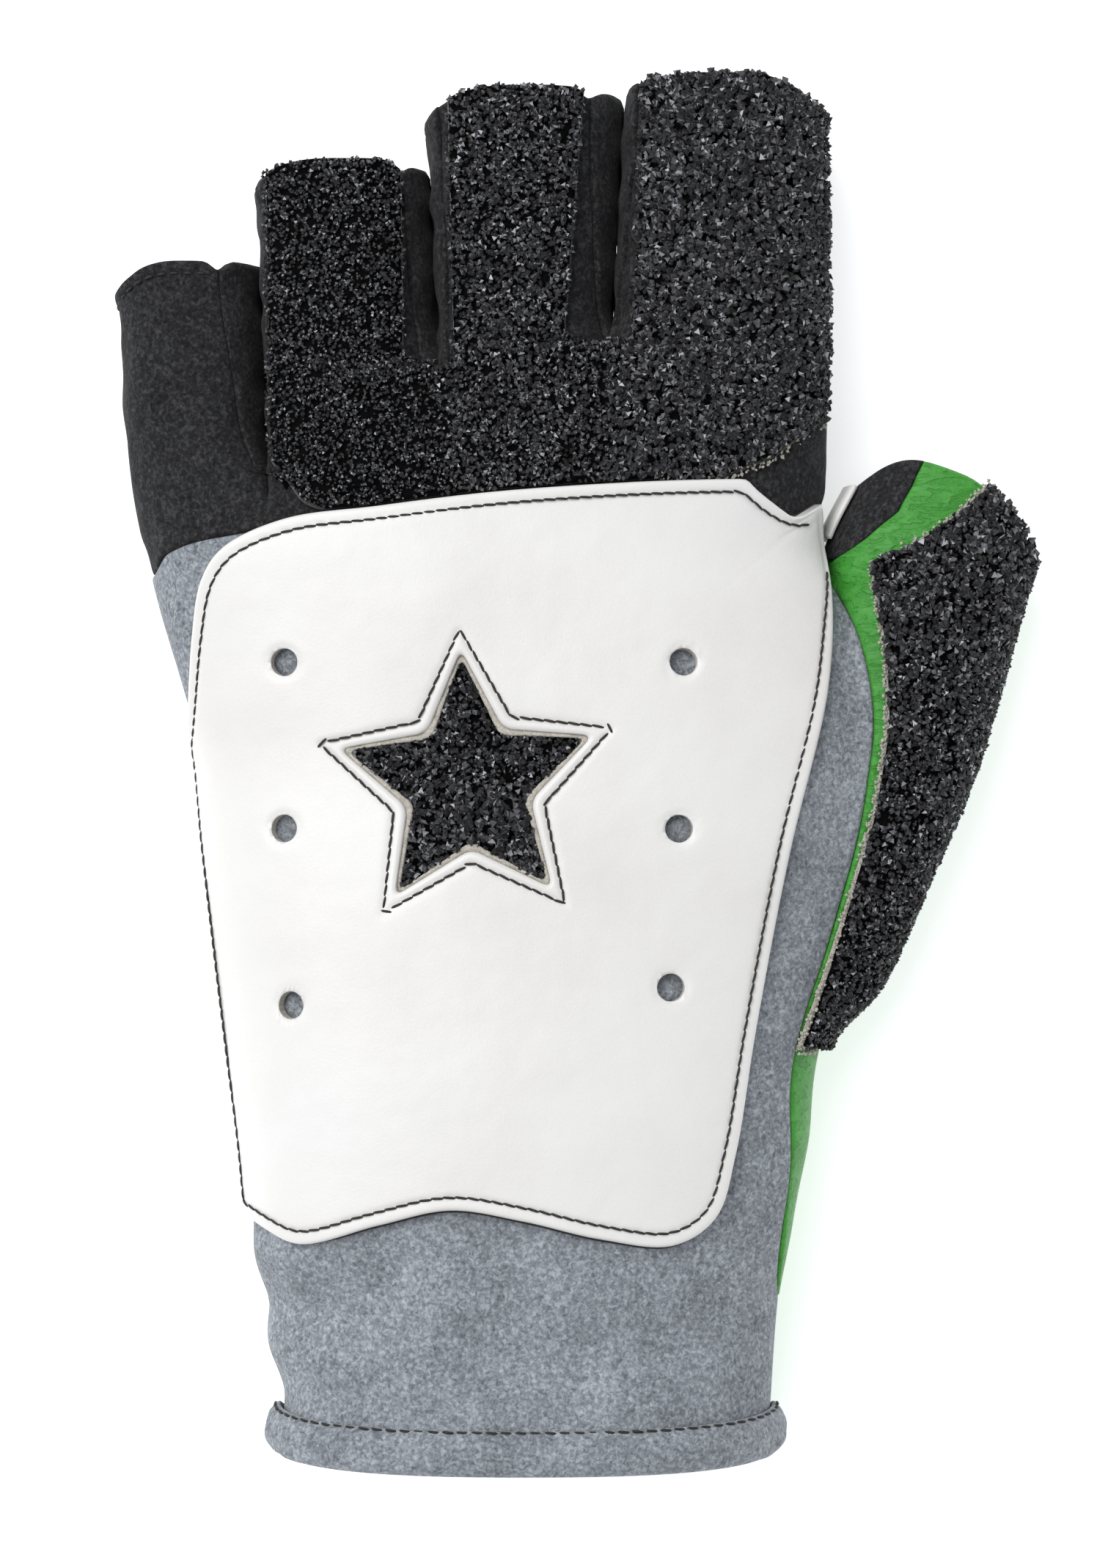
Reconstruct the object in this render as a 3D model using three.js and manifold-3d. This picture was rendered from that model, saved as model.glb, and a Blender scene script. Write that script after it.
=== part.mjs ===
// A half-finger sports glove for the left hand, lying on its palm with the fingers towards +Y, the thumb
// towards +X and the back of the hand up. Millimetres, +Z up. The pieces are worked out with Y = 0 at the
// cuff's edge and Z = 0 on the table, and moved to the part's own origin at the end.
//
// The glove is worked out as three hollow forms: the hand with its cuff, the thumb that grows out of its
// side, and the four finger tubes. Cutting these shells along the seams gives the sewn pieces. The patches on
// top are slices of the same forms, one gap further out.
import * as THREE from "three";
import { mergeVertices } from "three/addons/utils/BufferGeometryUtils.js";
import Module from "manifold-3d";

const wasm = await Module();
wasm.setup();

// Main sizes of the glove
const handLength = 186.5; // cuff's edge to the fork between middle and index finger
const handWidth = 117; // across the knuckles
const handHeight = 40; // table to the back of the hand
const littleLength = 33; // each finger from the fork beside it to its cut end
const ringLength = 32.5;
const middleLength = 41;
const indexLength = 43;
const thumbLength = 12.2; // from its fork with the index finger to its cut end
const thumbCrown = 7; // how much further the back of the thumb reaches than its two sides

// Sheets
const handWall = 2; // grey suede and green leather
const fingerWall = 1.6;
const thumbWall = 1.6;
const panelWall = 2.2; // stiff white leather
const gripWall = 2.2; // rubber crumb on its cloth
const starWall = 1.4;
const stripWall = 1.3;
const gap = 0.3; // between any two neighbouring pieces
const fingerGap = 0.9; // air between two neighbouring fingers
const slotOpening = 2; // length over which that air opens above a fork
const rootOverlap = 0.5; // of neighbouring finger forms below their fork, so that they join

// Cuff hem, folded round the edge of hand and palm
const hemLength = 8;
const hemWall = 1.5;

// Star window and punched holes of the panel
const starRadius = 20.9;
const starWaist = 10.5; // radius at the notches between the points
const starTurn = 3; // degrees, counter-clockwise
const holeDiameter = 4.5;

// Cross-sections of hand and cuff. along is a share of handLength, left and right are shares of handWidth,
// and top, side (height of the widest point) and lift (of the underside) of handHeight. square is the
// exponent of the upper half: 2 is an ellipse and more is boxier.
const handSections = [
  { along: -0.02, left: -0.41, right: 0.277, top: 1.04, side: 0.5, lift: 0.045, square: 2.1 },
  { along: 0.07, left: -0.409, right: 0.279, top: 1.03, side: 0.49, lift: 0.045, square: 2.1 },
  { along: 0.148, left: -0.429, right: 0.287, top: 1.0, side: 0.48, lift: 0.01, square: 2.15 },
  { along: 0.218, left: -0.446, right: 0.308, top: 0.985, side: 0.47, lift: 0.0, square: 2.25 },
  { along: 0.293, left: -0.458, right: 0.332, top: 0.985, side: 0.455, lift: 0.0, square: 2.3 },
  { along: 0.368, left: -0.4735, right: 0.345, top: 0.975, side: 0.44, lift: 0.0, square: 2.35 },
  { along: 0.454, left: -0.4906, right: 0.393, top: 0.96, side: 0.425, lift: 0.0, square: 2.4 },
  { along: 0.551, left: -0.509, right: 0.444, top: 0.94, side: 0.4, lift: 0.0, square: 2.4 },
  { along: 0.636, left: -0.523, right: 0.466, top: 0.92, side: 0.39, lift: 0.0, square: 2.4 },
  { along: 0.679, left: -0.5436, right: 0.458, top: 0.91, side: 0.38, lift: 0.0, square: 2.4 },
  { along: 0.733, left: -0.566, right: 0.424, top: 0.89, side: 0.37, lift: 0.0, square: 2.4 },
  { along: 0.776, left: -0.585, right: 0.381, top: 0.87, side: 0.36, lift: 0.0, square: 2.45 },
  { along: 0.813, left: -0.6, right: 0.3436, top: 0.85, side: 0.35, lift: 0.0, square: 2.5 },
  { along: 0.883, left: -0.626, right: 0.357, top: 0.8, side: 0.325, lift: 0.0, square: 2.6 },
  { along: 0.99, left: -0.636, right: 0.359, top: 0.72, side: 0.3, lift: 0.0, square: 2.8 },
  { along: 1.065, left: -0.643, right: 0.357, top: 0.67, side: 0.285, lift: 0.0, square: 2.9 },
  { along: 1.26, left: -0.66, right: 0.352, top: 0.62, side: 0.275, lift: 0.0, square: 3.0 },
];
const undersideSquare = 3.6; // exponent of the lower half of every section
const flatShare = 1.05; // over 1, the underside is cut flat where it rests

// Cross-sections of the thumb, with the same columns and shares
const thumbSections = [
  { along: 0.34, left: 0.23, right: 0.3, top: 0.45, side: 0.3, lift: 0.1, square: 2.3 },
  { along: 0.37, left: 0.235, right: 0.333, top: 0.54, side: 0.31, lift: 0.04, square: 2.3 },
  { along: 0.405, left: 0.245, right: 0.394, top: 0.6, side: 0.32, lift: 0.02, square: 2.3 },
  { along: 0.457, left: 0.262, right: 0.441, top: 0.67, side: 0.33, lift: 0.0, square: 2.3 },
  { along: 0.534, left: 0.296, right: 0.494, top: 0.72, side: 0.34, lift: 0.0, square: 2.3 },
  { along: 0.611, left: 0.328, right: 0.546, top: 0.73, side: 0.34, lift: 0.0, square: 2.35 },
  { along: 0.688, left: 0.347, right: 0.584, top: 0.71, side: 0.33, lift: 0.0, square: 2.4 },
  { along: 0.766, left: 0.354, right: 0.618, top: 0.68, side: 0.32, lift: 0.0, square: 2.4 },
  { along: 0.812, left: 0.355, right: 0.641, top: 0.66, side: 0.31, lift: 0.0, square: 2.4 },
  { along: 0.875, left: 0.403, right: 0.66, top: 0.63, side: 0.3, lift: 0.0, square: 2.4 },
  { along: 1.0, left: 0.49, right: 0.72, top: 0.6, side: 0.29, lift: 0.0, square: 2.4 },
];
const thumbForkAlong = 0.812; // between thumb and index finger, a share of handLength
const thumbFootAlong = 0.375; // lowest point of the thumb's seam
const thumbEndAcross = 0.543; // middle of the thumb's cut end, a share of handWidth
const thumbEndHalf = 0.1145; // half of that end's width
const thumbLean = 21; // degrees from +Y

// Forks between the fingers: along is a share of handLength, across and lean of handWidth and of length
const forks = [
  { along: 0.887, across: -0.425, lean: -0.05 },
  { along: 0.978, across: -0.185, lean: -0.06 },
  { along: 0.996, across: 0.0556, lean: 0.055 },
];
const outerForkAlong = { left: 0.93, right: 0.96 }; // where the outer sides become finger-shaped
const furrowLength = { below: 14, above: 12 }; // over which the furrow beside a finger deepens

// Fingers: fork is the fork that its length starts from, top a share of the section's height, squareLeft
// and squareRight the exponents on either side of its crown, dropLeft and dropRight how far its cut end falls
const fingers = [
  { fork: 0, length: littleLength, top: 0.9, squareLeft: 2.8, squareRight: 2.3, dropLeft: 5, dropRight: 1.5 },
  { fork: 1, length: ringLength, top: 0.97, squareLeft: 4.2, squareRight: 2.5, dropLeft: 3.5, dropRight: 2 },
  { fork: 2, length: middleLength, top: 1.02, squareLeft: 4.2, squareRight: 2.5, dropLeft: 6, dropRight: 2 },
  { fork: 2, length: indexLength, top: 1.04, squareLeft: 4.4, squareRight: 2.9, dropLeft: 3, dropRight: 9 },
];
const fourchetteWidth = { left: 1.6, right: 6 }; // of a finger's side strips at its cut end, from above
const fourchettePoint = 0.7; // half width of a fourchette's lower end
const fourchetteOpening = 0.7; // exponent of its widening: under 1 it opens fast, then slowly
const fourchetteReach = 2; // of its cutter past the fingers' ends

// Seam between the black fingers and the grey back: across is a share of handWidth, along of handLength
const knuckleSeam = [
  { across: -0.75, along: 0.77 },
  { across: -0.6, along: 0.783 },
  { across: -0.57, along: 0.807 },
  { across: -0.48, along: 0.822 },
  { across: -0.27, along: 0.84 },
  { across: 0.1, along: 0.845 },
  { across: 0.28, along: 0.828 },
  { across: 0.36, along: 0.815 },
  { across: 0.45, along: 0.81 },
];
const sideSeam = { hand: 0.7, finger: 0.8 }; // height of the outer sides' seam over the widest point's

// Right edge of the grey back: how far inward it lies from the hand's side, a share of handWidth
const backEdge = [
  { along: -0.02, inward: -0.02 },
  { along: 0.12, inward: -0.01 },
  { along: 0.17, inward: 0.004 },
  { along: 0.25, inward: 0.018 },
  { along: 0.33, inward: 0.033 },
  { along: 0.39, inward: 0.038 },
  { along: 0.46, inward: 0.042 },
  { along: 0.55, inward: 0.05 },
  { along: 0.64, inward: 0.05 },
  { along: 0.72, inward: 0.03 },
  { along: 0.78, inward: 0.012 },
  { along: 0.83, inward: 0.004 },
];

// Soft dents of cuff and back: shares of handLength and handWidth, sizes in shares of handHeight
const dents = [
  { along: 0.16, across: -0.36, long: 0.5, wide: 0.16, deep: 0.05, turn: 12 },
  { along: 0.13, across: 0.16, long: 0.7, wide: 0.18, deep: 0.045, turn: -8 },
  { along: 0.105, across: -0.15, long: 0.8, wide: 0.2, deep: 0.03, turn: 4 },
];

// Outline of the white panel, clockwise from its upper left corner. Its left stretch wraps round the side.
const panelOutline = [
  { across: -0.487, along: 0.811 },
  { across: -0.4, along: 0.836 },
  { across: -0.27, along: 0.847 },
  { across: -0.1, along: 0.86 },
  { across: 0.08, along: 0.868 },
  { across: 0.235, along: 0.868 },
  { across: 0.31, along: 0.839 },
  { across: 0.345, along: 0.815 },
  { across: 0.352, along: 0.77 },
  { across: 0.34, along: 0.69 },
  { across: 0.303, along: 0.55 },
  { across: 0.254, along: 0.39 },
  { across: 0.226, along: 0.285 },
  { across: 0.198, along: 0.23 },
  { across: 0.14, along: 0.207 },
  { across: 0.04, along: 0.213 },
  { across: -0.07, along: 0.229 },
  { across: -0.17, along: 0.238 },
  { across: -0.27, along: 0.224 },
  { across: -0.38, along: 0.206 },
  { across: -0.43, along: 0.218 },
  { across: -0.5, along: 0.25 },
  { across: -0.56, along: 0.3 },
  { across: -0.58, along: 0.6 },
  { across: -0.545, along: 0.66 },
  { across: -0.527, along: 0.73 },
  { across: -0.512, along: 0.783 },
];
const starPlace = { across: -0.145, along: 0.606 };
const holePlaces = [
  { across: -0.4, along: 0.711 },
  { across: -0.4, along: 0.567 },
  { across: -0.39, along: 0.414 },
  { across: 0.152, along: 0.711 },
  { across: 0.146, along: 0.567 },
  { across: 0.135, along: 0.43 },
];

// Lower edge of the grip patch on the fingers, from the ring finger's outer side to the index finger's
const gripEdge = [
  { across: -0.405, along: 0.9 },
  { across: -0.395, along: 0.866 },
  { across: -0.36, along: 0.85 },
  { across: -0.27, along: 0.84 },
  { across: 0.08, along: 0.85 },
  { across: 0.2, along: 0.872 },
  { across: 0.28, along: 0.894 },
  { across: 0.34, along: 0.925 },
  { across: 0.45, along: 0.935 },
];
const gripMargin = 0.5; // between the patch and the seams beside it on each finger
const panelSeam = 1.2; // height of the panel's side edge over the widest point's
const gripSeam = 0.8; // the same for the grip patches
const panelLift = 0.6; // of the panel over the grey back, across the seams beneath it

// Grip patch of the thumb: its left edge from the foot to the cut end
const thumbGripEdge = [
  { along: 0.372, across: 0.31 },
  { along: 0.42, across: 0.338 },
  { along: 0.5, across: 0.382 },
  { along: 0.58, across: 0.42 },
  { along: 0.655, across: 0.44 },
  { along: 0.72, across: 0.438 },
  { along: 0.775, across: 0.425 },
  { along: 0.8, across: 0.422 },
  { along: 0.825, across: 0.47 },
  { along: 0.868, across: 0.575 },
];

// Black lap along the thumb's inner side and the white strip below it, seen from above
const lapWidth = 8.3; // at the thumb's cut end
const lapStart = 2; // below the fork
const lapOpening = 0.6; // exponent of its widening
const lapInset = 0.5; // least width
const stripWidth = 1.3;
const stripBand = { low: 0.3, high: 1.25 }; // heights of the strip over the widest point's
const stripStart = 1.5; // above the fork
const edgeReach = 4; // of the cutters past the thumb's inner side

// Where the forms begin and end, as shares of handLength, and how fine they are
const handFormEnd = 0.93;
const thumbFormEnd = 0.96;
const fingerRoots = [0.765, 0.79, 0.815, 0.85];
const fingerSteps = 3;
const leastRow = 1; // rows closer than this are left out
const forkRows = [0, 1.6]; // above a fork
const handSides = 26;
const fingerSides = 12;
const thumbSides = 18;
const holeSides = 12;
const starPoints = 5;
const knuckleSpan = { right: 0.4, left: -0.7 }; // stretch of the knuckle seam, in shares of handWidth
const rimSpan = 1.23; // half length of the thumb's rim curve, in halves of its cut end
const farEnd = 1.5 * handLength; // past every finger
const seamSurface = { from: -0.1 * handLength, to: 1.4 * handLength, steps: 9 };
const slotShares = [0.25, 0.5, 1.2]; // of thumbLength, where the thumb's slot is followed
const backEdgeEnd = 0.82 * handLength;

const degrees = Math.PI / 180;
const beyond = 40; // how far a cutter reaches past what it cuts
const lerp = (a, b, share) => a + (b - a) * share;
const clamp01 = (v) => Math.min(1, Math.max(0, v));
const smooth = (v) => clamp01(v) ** 2 * (3 - 2 * clamp01(v));
const spread = (from, to, count) => Array.from({ length: count + 1 }, (_, i) => lerp(from, to, i / count));

// Smooth value of a table's column between its rows
function between(table, key, column, at) {
  const last = table.length - 1;
  let i = 0;
  while (i < last - 1 && at > table[i + 1][key]) i++;
  const [a, b] = [table[i], table[i + 1]];
  const [before, after] = [table[Math.max(0, i - 1)], table[Math.min(last, i + 2)]];
  const width = b[key] - a[key];
  const t = clamp01((at - a[key]) / width);
  const slopeA = ((b[column] - before[column]) / (b[key] - before[key])) * width;
  const slopeB = ((after[column] - a[column]) / (after[key] - a[key])) * width;
  const kept = a[column] * (1 + 2 * t) * (1 - t) ** 2 + b[column] * (3 - 2 * t) * t * t;
  return kept + slopeA * t * (1 - t) ** 2 + slopeB * (t - 1) * t * t;
}

// Cross-section of hand or thumb at y, in millimetres and grown by an offset
function sectionAt(table, y, offset = 0) {
  const value = (column) => between(table, "along", column, y / handLength);
  const left = value("left") * handWidth - offset;
  const right = value("right") * handWidth + offset;
  return {
    left,
    right,
    centre: (left + right) / 2,
    half: (right - left) / 2,
    top: value("top") * handHeight + offset,
    side: value("side") * handHeight,
    lift: value("lift") * handHeight - offset,
    square: value("square"),
  };
}

// Depth of the soft dents at a place on the back
function dentAt(x, y) {
  let depth = 0;
  for (const d of dents) {
    const [dx, dy] = [x - d.across * handWidth, y - d.along * handLength];
    const [c, s] = [Math.cos(d.turn * degrees), Math.sin(d.turn * degrees)];
    const alongFold = (dx * c + dy * s) / (d.long * handHeight);
    const acrossFold = (dy * c - dx * s) / (d.wide * handHeight);
    depth += d.deep * handHeight * Math.exp(-alongFold * alongFold - acrossFold * acrossFold);
  }
  return depth;
}

// Heights of a section's upper and lower half over x
const bulge = (across, square) => (1 - Math.min(1, Math.abs(across)) ** square) ** (1 / square);
function topOver(section, x, y) {
  const rise = bulge((x - section.centre) / section.half, section.square);
  return section.side + (section.top - section.side - dentAt(x, y)) * rise;
}
function bottomOver(section, x) {
  const fall = Math.min(1, flatShare * bulge((x - section.centre) / section.half, undersideSquare));
  return section.side - (section.side - section.lift) * fall;
}

// Closed solid through rings of equally many points
function loft(rings) {
  const size = rings[0].length;
  const indices = [];
  for (let j = 0; j + 1 < rings.length; j++) {
    for (let i = 0; i < size; i++) {
      const [a, b] = [j * size + i, j * size + ((i + 1) % size)];
      indices.push(a, b, b + size, a, b + size, a + size);
    }
  }
  const last = (rings.length - 1) * size;
  for (let i = 1; i + 1 < size; i++) {
    indices.push(0, i + 1, i, last, last + i, last + i + 1);
  }
  const vertProperties = Float32Array.from(rings.flat(2));
  const triVerts = Uint32Array.from(indices);
  return new wasm.Manifold(new wasm.Mesh({ numProp: 3, vertProperties, triVerts }));
}

// Ring of a section at y: over the back from left to right, then back along the underside
function ringAt(table, y, offset, sides) {
  const section = sectionAt(table, y, offset);
  const half = sides / 2;
  return Array.from({ length: sides }, (_, i) => {
    const upper = i <= half;
    const x = section.centre - section.half * Math.cos((Math.PI * (upper ? i : sides - i)) / half);
    return [x, y, upper ? topOver(section, x, y) : bottomOver(section, x)];
  });
}
function formOf(table, offset, end, sides) {
  const shares = [...table.map((row) => row.along).filter((along) => along < end), end];
  return loft(shares.map((share) => ringAt(table, share * handLength, offset, sides)));
}
const handForm = (offset) => formOf(handSections, offset, handFormEnd, handSides);
const thumbForm = (offset) => formOf(thumbSections, offset, thumbFormEnd, thumbSides);

// Forks, furrows and fingers
const forkAlong = [outerForkAlong.left, ...forks.map((fork) => fork.along), outerForkAlong.right];
const forkY = (i) => forkAlong[i + 1] * handLength;
const forkX = (i, y) => forks[i].across * handWidth + forks[i].lean * (y - forkY(i));
const fingerTip = (f) => forkY(fingers[f].fork) + fingers[f].length;

// Edge of a finger on one side at y. Neighbours run into each other below their fork and stay apart above it.
function fingerEdge(f, side, y, offset) {
  const fork = side < 0 ? f - 1 : f;
  const section = sectionAt(handSections, y, offset);
  if (fork < 0) return section.left;
  if (fork > 2) return section.right;
  const apart = smooth((y - forkY(fork) - offset) / slotOpening);
  return forkX(fork, y) + side * lerp(rootOverlap, offset - fingerGap / 2, apart);
}

// Ring of a finger at y, with the hand's height below the furrows and its own above them
function fingerRing(f, y, offset) {
  const section = sectionAt(handSections, y, offset);
  const [left, right] = [fingerEdge(f, -1, y, offset), fingerEdge(f, 1, y, offset)];
  const crown = section.top * fingers[f].top;
  const half = fingerSides / 2;
  const points = [];
  for (const upper of [true, false]) {
    for (let i = 0; i <= half; i++) {
      const s = -Math.cos((Math.PI * (upper ? i : half - i)) / half);
      const x = lerp(left, right, (s + 1) / 2);
      const start = lerp(forkY(f - 1), forkY(f), (s + 1) / 2) + offset - furrowLength.below;
      const share = smooth((y - start) / (furrowLength.below + furrowLength.above));
      const square = s < 0 ? fingers[f].squareLeft : fingers[f].squareRight;
      const fall = Math.min(1, flatShare * bulge(s, undersideSquare));
      const own = upper
        ? section.side + (crown - section.side) * bulge(s, square)
        : section.side - (section.side - section.lift) * fall;
      const hand = upper ? topOver(section, x, y) : bottomOver(section, x);
      points.push([x, y, lerp(hand, own, share)]);
    }
  }
  return points;
}
function fingerForm(offset) {
  const solids = fingers.map((_, f) => {
    const beside = [f - 1, f].filter((i) => i >= 0 && i <= 2);
    const turns = beside.flatMap((i) => forkRows.map((above) => forkY(i) + offset + above));
    const roots = fingerRoots.map((share) => share * handLength);
    const steps = spread(roots.at(-1), fingerTip(f) + gap, fingerSteps);
    const rows = [...roots, ...steps, ...turns].sort((a, b) => a - b);
    const kept = rows.filter((y, i) => i === 0 || y - rows[i - 1] > leastRow);
    return loft(kept.map((y) => fingerRing(f, y, offset)));
  });
  return solids.reduce((all, one) => all.add(one));
}

// Geometry to manifold solid and back
function solidOf(geometry) {
  const bare = geometry.clone();
  bare.deleteAttribute("normal");
  bare.deleteAttribute("uv");
  const merged = mergeVertices(bare, 1e-4);
  const vertProperties = Float32Array.from(merged.attributes.position.array);
  const triVerts = Uint32Array.from(merged.index.array);
  return new wasm.Manifold(new wasm.Mesh({ numProp: 3, vertProperties, triVerts }));
}
function geometryOf(solid) {
  const mesh = solid.getMesh();
  const made = new THREE.BufferGeometry();
  made.setAttribute("position", new THREE.Float32BufferAttribute(Array.from(mesh.vertProperties), 3));
  made.setIndex(Array.from(mesh.triVerts));
  return made;
}

// Upright prism over a plan outline, grown outwards by an amount
function grown(points, amount) {
  const area = points.reduce((sum, [x, y], i) => {
    const [nx, ny] = points[(i + 1) % points.length];
    return sum + x * ny - nx * y;
  }, 0);
  const side = Math.sign(area) * amount;
  return points.map((point, i) => {
    const here = new THREE.Vector2(...point);
    const into = here.clone().sub(new THREE.Vector2(...points.at(i - 1))).normalize();
    const out = new THREE.Vector2(...points[(i + 1) % points.length]).sub(here).normalize();
    const reach = 1 + into.dot(out);
    return [here.x + (side * (into.y + out.y)) / reach, here.y - (side * (into.x + out.x)) / reach];
  });
}
function prism(points, growth = 0, low = -beyond, high = 2 * beyond) {
  const outline = (growth ? grown(points, growth) : points).map(([x, y]) => new THREE.Vector2(x, y));
  const settings = { depth: high - low, bevelEnabled: false };
  return solidOf(new THREE.ExtrudeGeometry(new THREE.Shape(outline), settings).translate(0, 0, low));
}

// Everything above the seam along the outer sides, for hand or fingers
function aboveSeam(share, shift = 0) {
  const rings = spread(seamSurface.from, seamSurface.to, seamSurface.steps).map((y) => {
    const z = sectionAt(handSections, y).side * share + shift;
    const [left, right] = [-handWidth, handWidth];
    return [
      [left, y, 2 * beyond],
      [right, y, 2 * beyond],
      [right, y, z],
      [left, y, z],
    ];
  });
  return loft(rings);
}

// Places of a table in millimetres, and the smooth closed outline through them
const placesOf = (table) => table.map(({ across, along }) => [across * handWidth, along * handLength]);
function smoothOutline(table, perSpan) {
  const points = placesOf(table).map(([x, y]) => new THREE.Vector3(x, y, 0));
  const curve = new THREE.CatmullRomCurve3(points, true, "centripetal");
  return curve.getPoints(table.length * perSpan).slice(0, -1).map(({ x, y }) => [x, y]);
}

// Plan outlines
const knuckleY = (x) => between(knuckleSeam, "across", "along", x / handWidth) * handLength;
const backEdgeX = (y) =>
  sectionAt(handSections, y).right - between(backEdge, "along", "inward", y / handLength) * handWidth;
const shellStart = hemWall + gap;
const farLeft = -handWidth;
const farRight = handWidth;
const forkLine = thumbForkAlong * handLength;
const knuckleXs = spread(knuckleSpan.right * handWidth, knuckleSpan.left * handWidth, 11);

// Thumb's cut end as a curve from its inner to its outer side
function thumbRim() {
  const [c, s] = [Math.cos(thumbLean * degrees), Math.sin(thumbLean * degrees)];
  return spread(-rimSpan, rimSpan, 10).map((share) => {
    const across = share * thumbEndHalf * handWidth;
    const along = -thumbCrown * share * share;
    const x = thumbEndAcross * handWidth + across * c + along * s;
    return [x, forkLine + thumbLength - across * s + along * c];
  });
}
const slotX = (y) => (sectionAt(handSections, y).right + sectionAt(thumbSections, y).left) / 2;
function thumbZone() {
  const foot = thumbFootAlong * handLength;
  const seam = spread(foot, forkLine, 12).map((y) => [Math.max(backEdgeX(y), slotX(y)), y]);
  const slot = slotShares.map((share) => forkLine + share * thumbLength).map((y) => [slotX(y), y]);
  return [[farRight, foot], ...seam, ...slot, [farRight, slot.at(-1)[1]]].reverse();
}
function belowThumbRim() {
  const rim = thumbRim();
  return [[0, 0], [0, rim[0][1]], ...rim, [farRight, rim.at(-1)[1]], [farRight, 0]].reverse();
}
function backZone() {
  const edge = spread(shellStart, backEdgeEnd, 16).map((y) => [backEdgeX(y), y]);
  const seam = knuckleXs.filter((x) => x < edge.at(-1)[0] - 1).map((x) => [x, knuckleY(x)]);
  return [[farLeft, shellStart], ...edge, ...seam, [farLeft, knuckleY(farLeft)]];
}
function handZone() {
  const seam = knuckleXs.map((x) => [x, knuckleY(x)]);
  const cuff = [[farLeft, shellStart], [farRight, shellStart]];
  return [...cuff, [farRight, knuckleY(farRight)], ...seam, [farLeft, knuckleY(farLeft)]];
}

// A finger's cut end, from its left to its right side
function fingerRim(f) {
  const tip = fingerTip(f);
  return spread(-1, 1, 8).map((s) => {
    const drop = s < 0 ? fingers[f].dropLeft : fingers[f].dropRight;
    const [left, right] = [fingerEdge(f, -1, tip, fingerGap / 2), fingerEdge(f, 1, tip, fingerGap / 2)];
    return [lerp(left, right, (s + 1) / 2), tip - drop * Math.abs(s) ** 3];
  });
}
function beyondSeam() {
  const seam = [...knuckleXs].reverse().map((x) => [x, knuckleY(x)]);
  const ends = [[farRight, farEnd], [farLeft, farEnd]];
  return [[farLeft, knuckleY(farLeft)], ...seam, [farRight, knuckleY(farRight)], ...ends];
}
function withinRims() {
  const rims = fingers.flatMap((_, f) => fingerRim(f)).reverse();
  return [[farLeft, 0], [farRight, 0], [farRight, rims[0][1]], ...rims, [farLeft, rims.at(-1)[1]]];
}

// Seams of the side strips beside a fork, and the strip between them
function stripSeamX(fork, side, y) {
  const finger = side < 0 ? fork : fork + 1;
  const width = side < 0 ? fourchetteWidth.right : fourchetteWidth.left;
  const start = forkY(fork) - fingerWall - 2 * gap;
  const share = clamp01((y - start) / (fingerTip(finger) - start)) ** fourchetteOpening;
  return forkX(fork, y) + side * lerp(fourchettePoint, width + fingerGap / 2, share);
}
function stripZone(fork) {
  const start = forkY(fork) - fingerWall - 2 * gap;
  const end = Math.max(fingerTip(fork), fingerTip(fork + 1)) + fourchetteReach;
  const ys = spread(start, end, 6);
  const right = ys.map((y) => [stripSeamX(fork, 1, y), y]);
  const left = ys.map((y) => [stripSeamX(fork, -1, y), y]).reverse();
  return [...right, ...left];
}

// Black lap and white strip along the thumb's inner side, and the grip patches
const thumbSideX = (y) => sectionAt(thumbSections, y).left;
function lapZone() {
  const ys = spread(forkLine - lapStart, forkLine + 2 * thumbLength, 8);
  const opening = (y) => clamp01((y - forkLine + lapStart) / (lapStart + thumbLength / 2)) ** lapOpening;
  const inner = ys.map((y) => [thumbSideX(y) - edgeReach, y]).reverse();
  return [...inner, ...ys.map((y) => [thumbSideX(y) + lapInset + lapWidth * opening(y), y])];
}
function stripArea() {
  const ys = spread(forkLine + stripStart, forkLine + 2 * thumbLength, 6);
  const outer = ys.map((y) => [thumbSideX(y) - edgeReach, y]).reverse();
  return [...ys.map((y) => [thumbSideX(y) + stripWidth, y]), ...outer];
}
function gripArea() {
  const edge = placesOf(gripEdge);
  return [...edge, [edge.at(-1)[0], farEnd], [edge[0][0], farEnd]];
}
function thumbGripArea() {
  const edge = placesOf(thumbGripEdge);
  return [[farRight, edge[0][1]], ...edge, [edge.at(-1)[0], farEnd], [farRight, farEnd]].reverse();
}

// Star window, from its upper point clockwise
function starOutline() {
  const turn = 180 / starPoints;
  return spread(0, 2 * starPoints - 1, 2 * starPoints - 1).map((i) => {
    const radius = i % 2 ? starWaist : starRadius;
    const angle = (90 + starTurn - turn * i) * degrees;
    const [x, y] = [starPlace.across * handWidth, starPlace.along * handLength];
    return [x + radius * Math.cos(angle), y + radius * Math.sin(angle)];
  });
}

// Cylinder square to the panel at a hole
function punch({ across, along }) {
  const [x, y] = [across * handWidth, along * handLength];
  const section = sectionAt(handSections, y);
  const slope = (topOver(section, x + 1, y) - topOver(section, x - 1, y)) / 2;
  const made = new THREE.CylinderGeometry(holeDiameter / 2, holeDiameter / 2, 6 * panelWall, holeSides);
  made.rotateX(Math.PI / 2).rotateY(-Math.atan(slope));
  return solidOf(made.translate(x, y, topOver(section, x, y)));
}

// Colours and finishes
const finish = (color, roughness) => new THREE.MeshStandardMaterial({ color, roughness, metalness: 0 });
const greySuede = finish(0x8b9299, 0.95);
const blackSuede = finish(0x262626, 0.92);
const greenLeather = finish(0x3f9a3a, 0.5);
const whiteLeather = finish(0xf2f0ed, 0.35);
const rubberCrumb = finish(0x151517, 0.6);

const glove = new THREE.Group();
function add(name, solid, material) {
  const mesh = new THREE.Mesh(geometryOf(solid), material);
  mesh.name = name;
  glove.add(mesh);
}

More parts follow.
